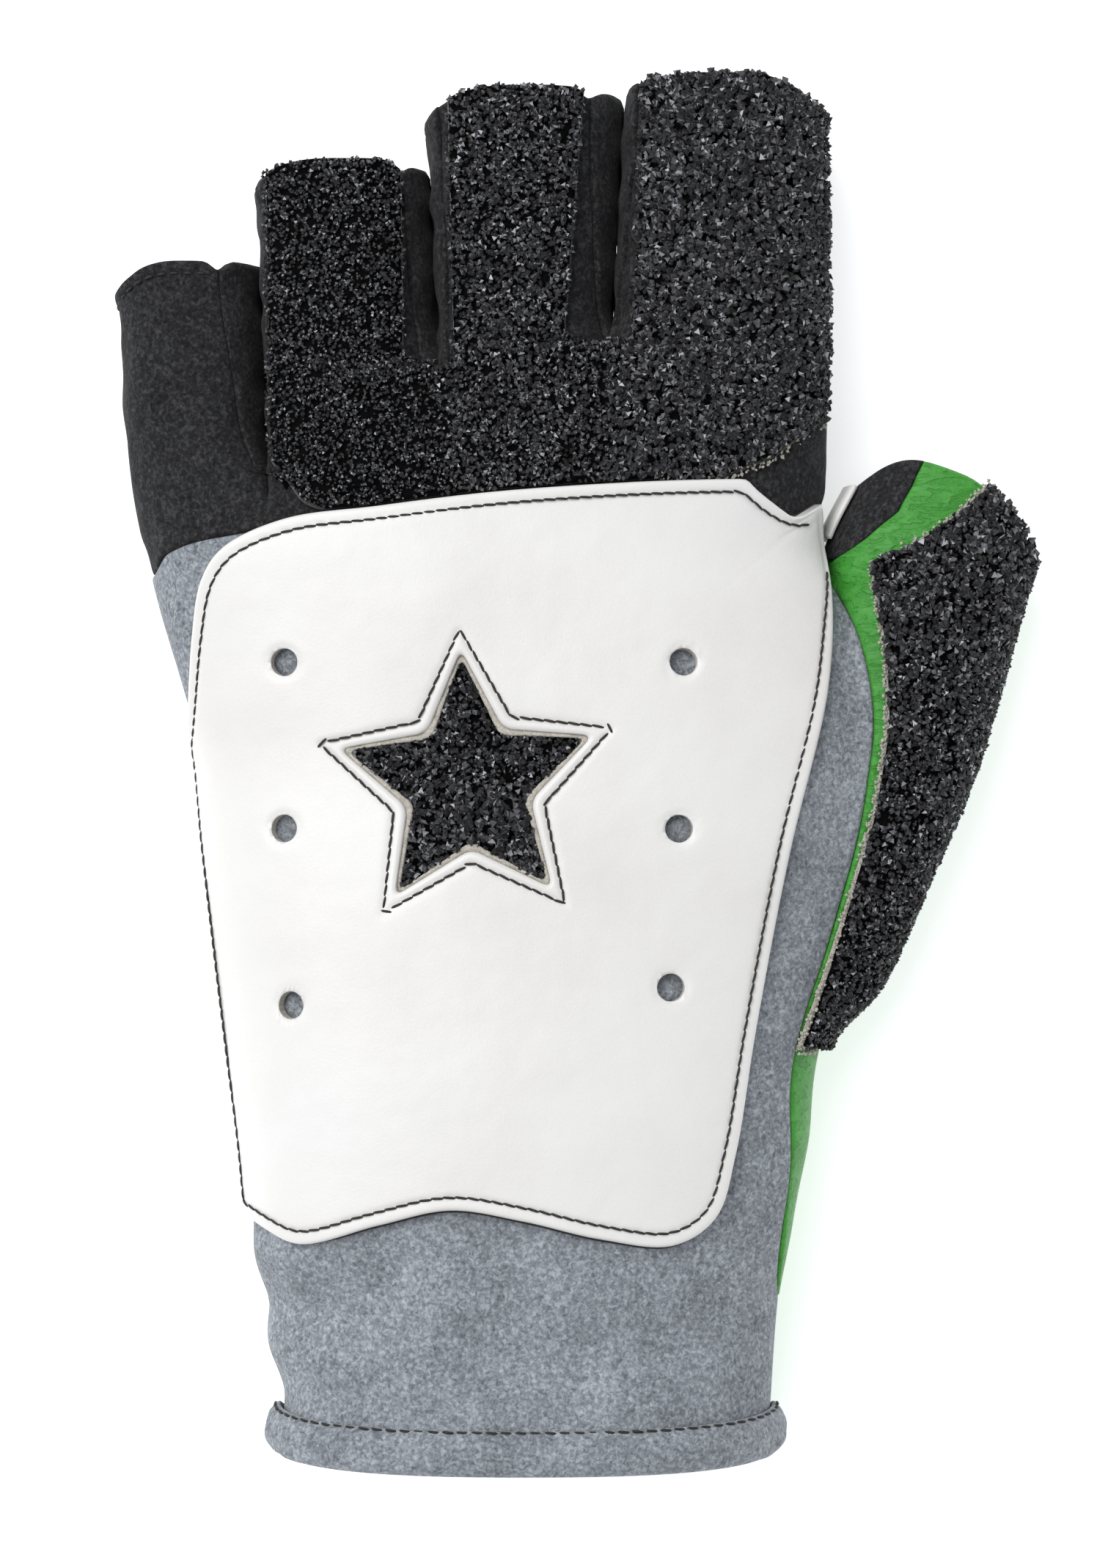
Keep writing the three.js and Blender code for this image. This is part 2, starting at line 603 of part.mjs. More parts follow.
// Shells and slices
const handShell = handForm(0).add(thumbForm(0)).subtract(handForm(-handWall).add(thumbForm(-thumbWall)));
const fingerShell = fingerForm(0).subtract(fingerForm(-fingerWall));
const halfGap = gap / 2;
const sliceOf = (form, wall, lift = gap) => form(lift + wall).subtract(form(lift));

// Grey back, green palm and thumb, black lap of the thumb
const back = handShell.intersect(prism(backZone(), -halfGap)).intersect(aboveSeam(sideSeam.hand, halfGap));
add("back_of_hand", back, greySuede);
const backRoom = prism(backZone(), halfGap).intersect(aboveSeam(sideSeam.hand, -halfGap));
const thumbRoom = prism(thumbZone(), halfGap);
const palm = handShell.intersect(prism(handZone(), -halfGap)).subtract(backRoom).subtract(thumbRoom);
add("palm", palm, greenLeather);

const thumb = handShell.intersect(prism(thumbZone(), -halfGap)).intersect(prism(belowThumbRim()));
add("thumb", thumb.subtract(prism(lapZone(), halfGap)), greenLeather);
add("thumb_lap", thumb.intersect(prism(lapZone(), -halfGap)), blackSuede);

// Black fingers with their side strips
const fingerPart = fingerShell.intersect(prism(beyondSeam(), -halfGap)).intersect(prism(withinRims()));
const strips = forks.map((_, i) => stripZone(i));
const withoutStrips = strips.reduce((rest, strip) => rest.subtract(prism(strip, halfGap)), fingerPart);
add("finger_backs", withoutStrips.intersect(aboveSeam(sideSeam.finger, halfGap)), blackSuede);
add("finger_palms", withoutStrips.subtract(aboveSeam(sideSeam.finger, -halfGap)), blackSuede);
strips.forEach((strip, i) => {
  add(`fourchette_${i + 1}`, fingerPart.intersect(prism(strip, -halfGap)), blackSuede);
});

// Hem: a band folded round the cuff's edge
const ahead = (from, to) => prism([[farLeft, from], [farRight, from], [farRight, to], [farLeft, to]]);
const hemBody = handForm(gap + hemWall).subtract(handForm(-handWall - gap - hemWall));
const hemRoom = handForm(gap).subtract(handForm(-handWall - gap)).intersect(ahead(hemWall, 2 * hemLength));
add("cuff_hem", hemBody.intersect(ahead(0, hemLength)).subtract(hemRoom), greySuede);

// White panel with its star window and punched holes, over the upper half of the hand
const panelShape = smoothOutline(panelOutline, 2);
const star = starOutline();
const panelSlice = sliceOf(handForm, panelWall, panelLift).intersect(aboveSeam(panelSeam));
const panelPlate = panelSlice.intersect(prism(panelShape));
const punched = holePlaces.reduce((rest, place) => rest.subtract(punch(place)), panelPlate);
add("back_panel", punched.subtract(prism(star)), whiteLeather);
const starSlice = sliceOf(handForm, starWall).intersect(aboveSeam(panelSeam));
add("star_grip", starSlice.intersect(prism(star, -gap)), rubberCrumb);

// Grip patches on fingers and thumb
const grip = sliceOf(fingerForm, gripWall).intersect(prism(gripArea())).intersect(prism(withinRims()));
const gripFree = strips.reduce((rest, strip) => rest.subtract(prism(strip, gripMargin)), grip);
const gripBody = gripFree.subtract(prism(panelShape, gap)).intersect(aboveSeam(gripSeam));
add("finger_grip", gripBody, rubberCrumb);

const thumbSlice = sliceOf(thumbForm, gripWall).subtract(handForm(gap)).intersect(aboveSeam(gripSeam));
const thumbPatch = thumbSlice.intersect(prism(thumbGripArea()));
add("thumb_grip", thumbPatch.intersect(prism(belowThumbRim())), rubberCrumb);

// White strip along the thumb's inner side, in the fork beside the index finger
const stripSlice = sliceOf(thumbForm, stripWall).intersect(prism(stripArea()));
const stripEnd = stripSlice.intersect(prism(belowThumbRim()));
const stripBody = stripEnd.intersect(aboveSeam(stripBand.low)).subtract(aboveSeam(stripBand.high));
add("thumb_strip", stripBody.subtract(fingerForm(gap)), whiteLeather);

// The origin is under the middle of the glove, on the table
const box = new THREE.Box3().setFromObject(glove);
const middle = box.getCenter(new THREE.Vector3());
glove.position.set(-middle.x, -middle.y, -box.min.z);

export default glove;
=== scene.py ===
"""A half-finger sports glove for the left hand, lying on its palm and seen from straight above.

The CAD frame gives every piece its place. Each visible piece here is a surface worked out from the same
cross-sections as the CAD form, at a finer step, with turned edges, seams, stitches and rubber crumbs.
Lengths are millimetres in the glove's own axes (x across from the thumb side's middle, y from the cuff's
edge, z from the table) until a mesh is made, which puts them into the frame in metres.
"""

import bpy
import numpy as np
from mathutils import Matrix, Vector


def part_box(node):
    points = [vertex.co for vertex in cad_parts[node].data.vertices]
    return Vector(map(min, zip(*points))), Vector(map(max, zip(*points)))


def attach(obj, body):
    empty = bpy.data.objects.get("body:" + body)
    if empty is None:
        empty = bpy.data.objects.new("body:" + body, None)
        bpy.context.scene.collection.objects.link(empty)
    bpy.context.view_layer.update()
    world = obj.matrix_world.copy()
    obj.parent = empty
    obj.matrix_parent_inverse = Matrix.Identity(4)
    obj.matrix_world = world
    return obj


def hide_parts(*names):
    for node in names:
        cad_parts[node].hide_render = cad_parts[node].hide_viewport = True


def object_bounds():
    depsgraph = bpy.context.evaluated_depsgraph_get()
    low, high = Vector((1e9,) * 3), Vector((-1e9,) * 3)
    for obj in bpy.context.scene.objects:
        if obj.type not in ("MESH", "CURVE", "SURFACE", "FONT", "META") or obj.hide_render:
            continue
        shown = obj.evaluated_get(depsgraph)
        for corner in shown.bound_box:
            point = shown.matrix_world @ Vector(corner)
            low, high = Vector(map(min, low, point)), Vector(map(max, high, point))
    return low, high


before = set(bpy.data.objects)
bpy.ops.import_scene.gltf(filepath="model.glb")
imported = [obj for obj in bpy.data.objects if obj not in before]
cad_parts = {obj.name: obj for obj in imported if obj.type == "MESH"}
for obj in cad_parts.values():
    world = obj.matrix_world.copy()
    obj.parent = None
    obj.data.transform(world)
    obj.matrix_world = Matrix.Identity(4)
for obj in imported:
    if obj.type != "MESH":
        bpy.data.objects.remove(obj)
cad_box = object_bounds()

# Main sizes of the glove
hand_length = 186.5
hand_width = 117.0
hand_height = 40.0
finger_length = (33.0, 32.5, 41.0, 43.0)
thumb_length = 12.2
thumb_crown = 7.0
thumb_inner_crown = 4.4
hand_wall = 2.0
finger_wall = 1.6
thumb_wall = 1.6
panel_wall = 2.2
grip_wall = 2.2
star_wall = 1.4
strip_wall = 1.3
gap = 0.3
finger_gap = 0.9
hem_length = 8.0
hem_wall = 1.5
hem_seam = 7.2
crown_rise = 1.6
side_rise = 4.2
star_radius = 20.9
star_waist = 10.5
star_turn = 3.0
hole_diameter = 4.5


def table(columns, *rows):
    """Named columns of a short table."""
    return {name: np.array([row[i] for row in rows]) for i, name in enumerate(columns.split())}


# Cross-sections of the hand with its cuff and of the thumb, in shares of hand_length, hand_width and hand_height
hand_sections = table(
    "along left right top side lift square",
    (-0.02, -0.41, 0.277, 1.04, 0.5, 0.045, 2.1),
    (0.07, -0.409, 0.279, 1.03, 0.49, 0.045, 2.1),
    (0.148, -0.429, 0.287, 1.0, 0.48, 0.01, 2.15),
    (0.218, -0.446, 0.308, 0.985, 0.47, 0.0, 2.25),
    (0.293, -0.458, 0.332, 0.985, 0.455, 0.0, 2.3),
    (0.368, -0.4735, 0.345, 0.975, 0.44, 0.0, 2.35),
    (0.454, -0.4906, 0.393, 0.96, 0.425, 0.0, 2.4),
    (0.551, -0.509, 0.444, 0.94, 0.4, 0.0, 2.4),
    (0.636, -0.523, 0.466, 0.92, 0.39, 0.0, 2.4),
    (0.679, -0.5436, 0.458, 0.91, 0.38, 0.0, 2.4),
    (0.733, -0.566, 0.424, 0.89, 0.37, 0.0, 2.4),
    (0.776, -0.585, 0.381, 0.87, 0.36, 0.0, 2.45),
    (0.813, -0.6, 0.3436, 0.85, 0.35, 0.0, 2.5),
    (0.883, -0.626, 0.357, 0.8, 0.325, 0.0, 2.6),
    (0.99, -0.636, 0.359, 0.72, 0.3, 0.0, 2.8),
    (1.065, -0.643, 0.357, 0.67, 0.285, 0.0, 2.9),
    (1.26, -0.66, 0.352, 0.62, 0.275, 0.0, 3.0),
)
thumb_sections = table(
    "along left right top side lift square",
    (0.34, 0.23, 0.3, 0.45, 0.3, 0.1, 2.3),
    (0.37, 0.235, 0.333, 0.54, 0.31, 0.04, 2.3),
    (0.405, 0.245, 0.394, 0.6, 0.32, 0.02, 2.3),
    (0.457, 0.262, 0.441, 0.67, 0.33, 0.0, 2.3),
    (0.534, 0.296, 0.494, 0.72, 0.34, 0.0, 2.3),
    (0.611, 0.328, 0.546, 0.73, 0.34, 0.0, 2.35),
    (0.688, 0.347, 0.584, 0.71, 0.33, 0.0, 2.4),
    (0.766, 0.354, 0.618, 0.68, 0.32, 0.0, 2.4),
    (0.812, 0.355, 0.641, 0.66, 0.31, 0.0, 2.4),
    (0.875, 0.403, 0.66, 0.63, 0.3, 0.0, 2.4),
    (1.0, 0.49, 0.72, 0.6, 0.29, 0.0, 2.4),
)
underside_square = 3.6
flat_share = 1.05

# Forks and fingers, from the little finger to the index finger
fork_table = table("along across lean", (0.887, -0.425, -0.05), (0.978, -0.185, -0.06), (0.996, 0.0556, 0.055))
outer_fork_along = (0.93, 0.96)
furrow_below = 14.0
furrow_above = 12.0
finger_fork = (0, 1, 2, 2)
finger_top = (0.9, 0.97, 1.02, 1.04)
finger_square = ((2.8, 2.3), (4.2, 2.5), (4.2, 2.5), (4.4, 2.9))
finger_drop = ((5.0, 0.3), (3.5, 1.2), (4.5, 1.2), (2.0, 8.0))
rim_dip = 1.4

# Beside each fork, as distances from its furrow: the strips' seams left and right of it at the fingers' ends,
# the power with which they open above the fork, and the crumb patch's edges at the fork and at the ends
strips = table(
    "left right power patch_left patch_left_end patch_right patch_right_end",
    (6.3, 1.6, 0.35, 0.0, 0.0, 1.6, 2.7),
    (4.3, 1.8, 0.15, 6.6, 5.2, 3.0, 4.4),
    (5.6, 1.8, 0.5, 8.4, 7.4, 3.9, 3.4),
)

# Seams and edges: across in shares of hand_width, along in shares of hand_length
knuckle_seam = table(
    "across along",
    (-0.75, 0.77),
    (-0.6, 0.783),
    (-0.57, 0.807),
    (-0.48, 0.822),
    (-0.27, 0.84),
    (0.1, 0.845),
    (0.28, 0.828),
    (0.36, 0.815),
    (0.45, 0.81),
)
back_edge = table(
    "along inward",
    (-0.02, -0.02),
    (0.12, -0.01),
    (0.17, 0.004),
    (0.25, 0.018),
    (0.33, 0.033),
    (0.39, 0.038),
    (0.46, 0.042),
    (0.55, 0.05),
    (0.64, 0.05),
    (0.72, 0.03),
    (0.78, 0.012),
    (0.83, 0.004),
)
side_seam_hand = 0.7
side_seam_finger = 0.8
thumb_fork_along = 0.812
thumb_foot_along = 0.375
thumb_end_across = 0.543
thumb_end_half = 0.1145
thumb_lean = np.radians(21)
lap_width = 8.3
lap_start = 2.0
strip_start = 1.5
strip_low, strip_high = 0.3, 1.5

# Soft dents of cuff and back: places in shares of the hand, sizes in shares of hand_height, turn in degrees
dents = table(
    "along across long wide deep turn",
    (0.16, -0.36, 0.5, 0.16, 0.05, 12),
    (0.13, 0.16, 0.7, 0.18, 0.045, -8),
    (0.105, -0.15, 0.8, 0.2, 0.03, 4),
)

# Outline of the white panel, clockwise from its upper left corner
panel_table = table(
    "across along",
    (-0.487, 0.811),
    (-0.4, 0.836),
    (-0.27, 0.847),
    (-0.1, 0.86),
    (0.08, 0.868),
    (0.22, 0.8712),
    (0.241, 0.871),
    (0.246, 0.8695),
    (0.258, 0.862),
    (0.302, 0.8415),
    (0.31, 0.839),
    (0.326, 0.8405),
    (0.341, 0.8475),
    (0.3495, 0.852),
    (0.3525, 0.845),
    (0.354, 0.82),
    (0.364, 0.77),
    (0.356, 0.69),
    (0.303, 0.55),
    (0.254, 0.39),
    (0.226, 0.285),
    (0.198, 0.23),
    (0.14, 0.207),
    (0.04, 0.213),
    (-0.07, 0.229),
    (-0.17, 0.238),
    (-0.27, 0.224),
    (-0.38, 0.206),
    (-0.43, 0.218),
    (-0.5, 0.25),
    (-0.56, 0.3),
    (-0.58, 0.5),
    (-0.544, 0.6),
    (-0.5395, 0.66),
    (-0.532, 0.735),
    (-0.518, 0.783),
)
grip_edge = table(
    "across along",
    (-0.425, 0.9),
    (-0.402, 0.877),
    (-0.375, 0.853),
    (-0.34, 0.843),
    (-0.27, 0.84),
    (0.08, 0.85),
    (0.2, 0.872),
    (0.28, 0.894),
    (0.34, 0.925),
    (0.45, 0.935),
)
thumb_grip_edge = table(
    "along across",
    (0.372, 0.31),
    (0.42, 0.338),
    (0.5, 0.382),
    (0.58, 0.42),
    (0.655, 0.44),
    (0.72, 0.438),
    (0.775, 0.425),
    (0.795, 0.421),
    (0.799, 0.424),
    (0.82, 0.49),
    (0.839, 0.532),
    (0.854, 0.558),
    (0.87, 0.585),
)
star_place = (-0.145, 0.606)
hole_places = ((-0.4, 0.711), (-0.4, 0.567), (-0.39, 0.414), (0.152, 0.711), (0.146, 0.567), (0.135, 0.43))
panel_lift = 0.6
panel_seam = 1.2

# Shapes worked out as whole arrays


def lerp(a, b, share):
    """Straight blend from a to b."""
    return a + (b - a) * share


def smooth(v):
    """Smooth step: 3v^2 - 2v^3 between 0 and 1."""
    v = np.clip(v, 0, 1)
    return v * v * (3 - 2 * v)


def between(rows, key, column, at):
    """Cubic Hermite value of a table's column, with each slope taken from the neighbouring rows."""
    keys, values = rows[key], rows[column]
    last = len(keys) - 1
    i = np.clip(np.searchsorted(keys, at) - 1, 0, last - 1)
    before, after = np.maximum(0, i - 1), np.minimum(last, i + 2)
    width = keys[i + 1] - keys[i]
    t = np.clip((at - keys[i]) / width, 0, 1)
    slope_a = (values[i + 1] - values[before]) / (keys[i + 1] - keys[before]) * width
    slope_b = (values[after] - values[i]) / (keys[after] - keys[i]) * width
    kept = values[i] * (1 + 2 * t) * (1 - t) ** 2 + values[i + 1] * (3 - 2 * t) * t * t
    return kept + slope_a * t * (1 - t) ** 2 + slope_b * (t - 1) * t * t


class Section:
    """Cross-sections at the places y, in millimetres: sides, crown, widest height, underside and squareness."""

    def __init__(self, rows, y, offset=0.0):
        at = np.asarray(y) / hand_length
        self.left = between(rows, "along", "left", at) * hand_width - offset
        self.right = between(rows, "along", "right", at) * hand_width + offset
        self.centre = (self.left + self.right) / 2
        self.half = (self.right - self.left) / 2
        self.top = between(rows, "along", "top", at) * hand_height + offset
        self.side = between(rows, "along", "side", at) * hand_height
        self.lift = between(rows, "along", "lift", at) * hand_height
        self.square = between(rows, "along", "square", at)


def hand(y, offset=0.0):
    """Cross-sections of the hand."""
    return Section(hand_sections, y, offset)


def thumb_of(y):
    """Cross-sections of the thumb."""
    return Section(thumb_sections, y)


def dent_depth(x, y):
    """Sum of stretched bell curves, one for each dent."""
    depth = np.zeros(np.broadcast(x, y).shape)
    for along, across, long, wide, deep, turn in zip(*dents.values()):
        dx, dy = x - across * hand_width, y - along * hand_length
        c, s = np.cos(np.radians(turn)), np.sin(np.radians(turn))
        along_fold = (dx * c + dy * s) / (long * hand_height)
        across_fold = (dy * c - dx * s) / (wide * hand_height)
        depth += deep * hand_height * np.exp(-(along_fold**2) - across_fold**2)
    return depth


def bulge(across, square):
    """Height of a superellipse over its half width: (1 - |a|^n)^(1/n)."""
    return (1 - np.minimum(1, np.abs(across)) ** square) ** (1 / square)


def top_over(s, x, y):
    """Upper half of a cross-section over x."""
    return s.side + (s.top - s.side - dent_depth(x, y)) * bulge((x - s.centre) / s.half, s.square)


def bottom_over(s, x):
    """Lower half of a cross-section over x, cut flat where it rests."""
    fall = np.minimum(1, flat_share * bulge((x - s.centre) / s.half, underside_square))
    return s.side - (s.side - s.lift) * fall


def merged_top(x, y):
    """Smooth maximum of the tops of hand and thumb: (a + b + sqrt((a - b)^2 + k^2)) / 2."""
    soft = 1.6
    h, t = hand(y), thumb_of(y)
    on_hand = np.abs((x - h.centre) / h.half) < 1
    on_thumb = np.abs((x - t.centre) / t.half) < 1
    a = np.where(on_hand, top_over(h, x, y), -20.0)
    b = np.where(on_thumb & (y > thumb_foot_along * hand_length * 0.9), top_over(t, x, y), -20.0)
    return (a + b + np.sqrt((a - b) ** 2 + soft**2)) / 2


def fork_y(i):
    """Height of a fork, or of the outer sides' own."""
    if i < 0:
        return outer_fork_along[0] * hand_length
    if i > 2:
        return outer_fork_along[1] * hand_length
    return fork_table["along"][i] * hand_length


def fork_x(i, y):
    """Furrow line through a fork."""
    return fork_table["across"][i] * hand_width + fork_table["lean"][i] * (y - fork_y(i))


def finger_tip(f):
    """Highest point of a finger's cut end."""
    return fork_y(finger_fork[f]) + finger_length[f]


def finger_edge(f, side, y):
    """x of a finger's side: the furrow, or half the slot beside it above the fork."""
    fork = f - 1 if side < 0 else f
    if fork < 0:
        return hand(y).left
    if fork > 2:
        return hand(y).right
    return fork_x(fork, y) - side * finger_gap / 2 * smooth((y - fork_y(fork)) / 2)


def finger_share(f, s, y):
    """How far the surface has gone over from the hand's shape into the finger's."""
    start = lerp(fork_y(f - 1), fork_y(f), (s + 1) / 2) - furrow_below
    return smooth(smooth((y - start) / (furrow_below + furrow_above)))


def finger_upper(f, s, y):
    """Point on the back of a finger at s from -1 to 1 across it."""
    h = hand(y)
    x = lerp(finger_edge(f, -1, y), finger_edge(f, 1, y), (s + 1) / 2)
    square = np.where(s < 0, finger_square[f][0], finger_square[f][1])
    own = h.side + (h.top * finger_top[f] - h.side) * bulge(s, square)
    z = lerp(top_over(h, x, y), own, finger_share(f, s, y))
    return np.stack(np.broadcast_arrays(x, y, z), -1)


def finger_lower(f, s, y):
    """Point on the palm side of a finger at s from -1 to 1 across it."""
    h = hand(y)
    x = lerp(finger_edge(f, -1, y), finger_edge(f, 1, y), (s + 1) / 2)
    own = h.side - (h.side - h.lift) * np.minimum(1, flat_share * bulge(s, underside_square))
    z = lerp(bottom_over(h, x), own, finger_share(f, s, y))
    return np.stack(np.broadcast_arrays(x, y, z), -1)


def back_over(x, y):
    """Height of the back of hand or fingers over any place in plan."""
    x, y = np.broadcast_arrays(np.asarray(x, float), np.asarray(y, float))
    f = sum((x > fork_x(i, y)).astype(int) for i in range(3))
    z = np.zeros(x.shape)
    for i in range(4):
        left, right = finger_edge(i, -1, y), finger_edge(i, 1, y)
        s = np.clip(2 * (x - left) / (right - left) - 1, -0.9999, 0.9999)
        z = np.where(f == i, finger_upper(i, s, y)[..., 2], z)
    return z


# Seam lines in plan


def knuckle_y(x):
    """Seam between the grey back and the black fingers."""
    return between(knuckle_seam, "across", "along", x / hand_width) * hand_length


def back_edge_x(y):
    """Right edge of the grey back."""
    return hand(y).right - between(back_edge, "along", "inward", y / hand_length) * hand_width


def slot_x(y):
    """Middle of the fork between thumb and index finger."""
    return (hand(y).right + thumb_of(y).left) / 2


fork_line = thumb_fork_along * hand_length
thumb_foot = thumb_foot_along * hand_length


def thumb_seam_x(y):
    """Left boundary of the thumb in plan."""
    seam = np.maximum(back_edge_x(y), slot_x(y))
    return np.where(y < fork_line, seam, slot_x(y))


def thumb_rim_y(x):
    """Cut end of the thumb: an arc square to the thumb's axis, flatter on its inner half."""
    share = np.linspace(-1.23, 1.23, 61)
    across = share * thumb_end_half * hand_width
    along = -np.where(share < 0, thumb_inner_crown * share**4, thumb_crown * share**2)
    rim_x = thumb_end_across * hand_width + across * np.cos(thumb_lean) + along * np.sin(thumb_lean)
    rim_y = fork_line + thumb_length - across * np.sin(thumb_lean) + along * np.cos(thumb_lean)
    return np.interp(x, rim_x, rim_y)


def finger_rim_y(f, s):
    """Cut end of a finger, falling back towards its sides with the cube of s."""
    drop = np.where(s < 0, finger_drop[f][0], finger_drop[f][1])
    dip = 0.0
    if f < 3:
        tip = finger_tip(f)
        seam = strip_seam_x(f, -1, tip) - finger_edge(f, -1, tip)
        place = 2 * seam / (finger_edge(f, 1, tip) - finger_edge(f, -1, tip)) - 1
        dip = rim_dip * np.exp(-(((s - place) / 0.11) ** 2))
    return finger_tip(f) - drop * np.abs(s) ** 3 - dip


# Meshes

box_low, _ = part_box("cuff_hem")
hem_left = hand(0.0).left - gap - hem_wall
table_press = 0.25
middle = np.array([hem_left - box_low.x * 1000, -cad_box[0][1] * 1000, 0.0])


def to_frame(points):
    """Millimetres on the glove to metres in the frame."""
    return (np.asarray(points, float) - middle) / 1000


def pressed(points):
    """Points with what lies at the table flattened on it: a height z becomes c ln(1 + exp(z / c)), which
    stays above 0 and is z again a little higher up."""
    points = np.array(points, float)
    points[:, 2] = table_press * np.logaddexp(0.0, points[:, 2] / table_press)
    return points


def piece(name, points, faces, material, slot, replaces=(), flat=False):
    """Mesh object from arrays of points and faces, riding on the glove."""
    mesh = bpy.data.meshes.new(name)
    mesh.from_pydata(to_frame(pressed(points)), [], np.asarray(faces))
    mesh.polygons.foreach_set("use_smooth", np.full(len(mesh.polygons), not flat))
    mesh.materials.append(material)
    mesh.update()
    made = bpy.data.objects.new(name, mesh)
    bpy.context.scene.collection.objects.link(made)
    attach(made, "root")
    if replaces:
        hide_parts(*replaces)
    return made


def even(points, shares):
    """Places at the given shares of the length of each row's polyline."""
    run = np.cumsum(np.linalg.norm(np.diff(points, axis=1, prepend=points[:, :1]), axis=2), axis=1)
    run = run / np.maximum(run[:, -1:], 1e-9)
    run[:, -1] = 1
    row = 2.0 * np.arange(len(points))[:, None]
    wanted, known = (np.asarray(shares)[None] + row).ravel(), (run + row).ravel()
    columns = [np.interp(wanted, known, points[..., k].ravel()) for k in range(points.shape[2])]
    return np.stack(columns, -1).reshape(len(points), -1, points.shape[2])


def weld(patches):
    """Joins grids that share edges into one set of points and triangles. A fourth column rides along."""
    stacked = np.concatenate([p.reshape(-1, p.shape[-1]) for p in patches])
    keys = np.round(stacked[:, :3] / 0.004).astype(np.int64)
    _, first, inverse = np.unique(keys, axis=0, return_index=True, return_inverse=True)
    inverse = inverse.ravel()
    faces, start = [], 0
    for patch in patches:
        rows, columns = patch.shape[:2]
        index = inverse[start : start + rows * columns].reshape(rows, columns)
        start += rows * columns
        a, b, c, d = index[:-1, :-1], index[:-1, 1:], index[1:, 1:], index[1:, :-1]
        faces.append(np.stack([a, b, c], -1).reshape(-1, 3))
        faces.append(np.stack([a, c, d], -1).reshape(-1, 3))
    faces = np.concatenate(faces)
    whole = (faces[:, 0] != faces[:, 1]) & (faces[:, 1] != faces[:, 2]) & (faces[:, 2] != faces[:, 0])
    return stacked[first], faces[whole]


def normals_of(points, faces):
    """Area-weighted normals: the sum of the cross products of the faces round each point."""
    a, b, c = (points[faces[:, i]] for i in range(3))
    cross = np.cross(b - a, c - a)
    total = np.zeros((len(points), 3))
    for i in range(3):
        np.add.at(total, faces[:, i], cross)
    return total / np.maximum(np.linalg.norm(total, axis=1, keepdims=True), 1e-12)


def border_of(points, faces):
    """Directed edges that only one triangle has."""
    count = len(points)
    edges = np.concatenate([faces[:, [0, 1]], faces[:, [1, 2]], faces[:, [2, 0]]])
    forward = edges[:, 0] * count + edges[:, 1]
    backward = edges[:, 1] * count + edges[:, 0]
    return edges[~np.isin(forward, backward)]


def distance_to(points, targets):
    """Distance from each point to the nearest of the targets, in blocks."""
    found = np.empty(len(points))
    block = 2000
    for start in range(0, len(points), block):
        part = points[start : start + block].astype(np.float32)
        square = ((part[:, None, :] - targets[None].astype(np.float32)) ** 2).sum(-1)
        found[start : start + block] = np.sqrt(square.min(1))
    return found


def waves(points, size, seed, count=22):
    """Smooth undulation: a sum of sine waves of about one length in scattered directions."""
    rng = np.random.default_rng(seed)
    direction = rng.normal(size=(count, 3))
    direction /= np.linalg.norm(direction, axis=1, keepdims=True)
    pitch = size * rng.uniform(0.7, 1.5, count)
    phase = rng.uniform(0, 2 * np.pi, count)
    return np.sin(points @ (direction / pitch[:, None]).T * 2 * np.pi + phase).sum(1) / np.sqrt(count / 2)


def sheet(patches, wall, edge, lift=0.0, relief=None):
    """Closed sheet: outer face along the normals at lift, inner face a wall deeper, edges rolled over.

    Both faces come towards each other by a quarter circle of radius edge at every border, and a patch's
    fourth column lifts the outer face further.
    """
    welded, faces = weld(patches)
    points = welded[:, :3]
    normals = normals_of(points, faces)
    border = border_of(points, faces)
    near = np.minimum(distance_to(points, points[np.unique(border)]), edge)
    roll = edge - np.sqrt(np.maximum(edge**2 - (edge - near) ** 2, 0))
    raised = relief(points) if relief else np.zeros(len(points))
    if welded.shape[1] > 3:
        raised = raised + welded[:, 3]
    outer = points + normals * (lift - roll + raised)[:, None]
    inner = points + normals * (lift - wall + roll)[:, None]
    count = len(points)
    a, b = border[:, 0], border[:, 1]
    sides = np.concatenate([np.stack([b, a, a + count], -1), np.stack([b, a + count, b + count], -1)])
    return np.concatenate([outer, inner]), np.concatenate([faces, faces[:, ::-1] + count, sides])


def joined(parts):
    """Several sets of points and faces as one."""
    shifts = np.cumsum([0] + [len(points) for points, _ in parts[:-1]])
    faces = np.concatenate([f + shift for (_, f), shift in zip(parts, shifts)])
    return np.concatenate([points for points, _ in parts]), faces


def spaced(length, step, edge):
    """Shares from 0 to 1 along a length, one step apart, with finer ones near both ends for a rolled edge."""
    ends = np.array([0.0, 0.08, 0.25, 0.5, 1.0]) * edge
    inside = np.linspace(edge, length - edge, max(2, int(round((length - 2 * edge) / step))) + 1)[1:-1]
    return np.concatenate([ends, inside, length - ends[::-1]]) / length


def scatter(patches, density, seed):
    """Random places on grids, evenly over their area, with the normals there."""
    points, faces = weld(patches)
    points = points[:, :3]
    normals = normals_of(points, faces)
    corners = points[faces]
    area = np.linalg.norm(np.cross(corners[:, 1] - corners[:, 0], corners[:, 2] - corners[:, 0]), axis=1) / 2
    rng = np.random.default_rng(seed)
    count = int(area.sum() * density)
    chosen = rng.choice(len(faces), count, p=area / area.sum())
    share = rng.dirichlet((1, 1, 1), count)[..., None]
    place = (corners[chosen] * share).sum(1)
    normal = (normals[faces[chosen]] * share).sum(1)
    return place, normal / np.linalg.norm(normal, axis=1, keepdims=True)


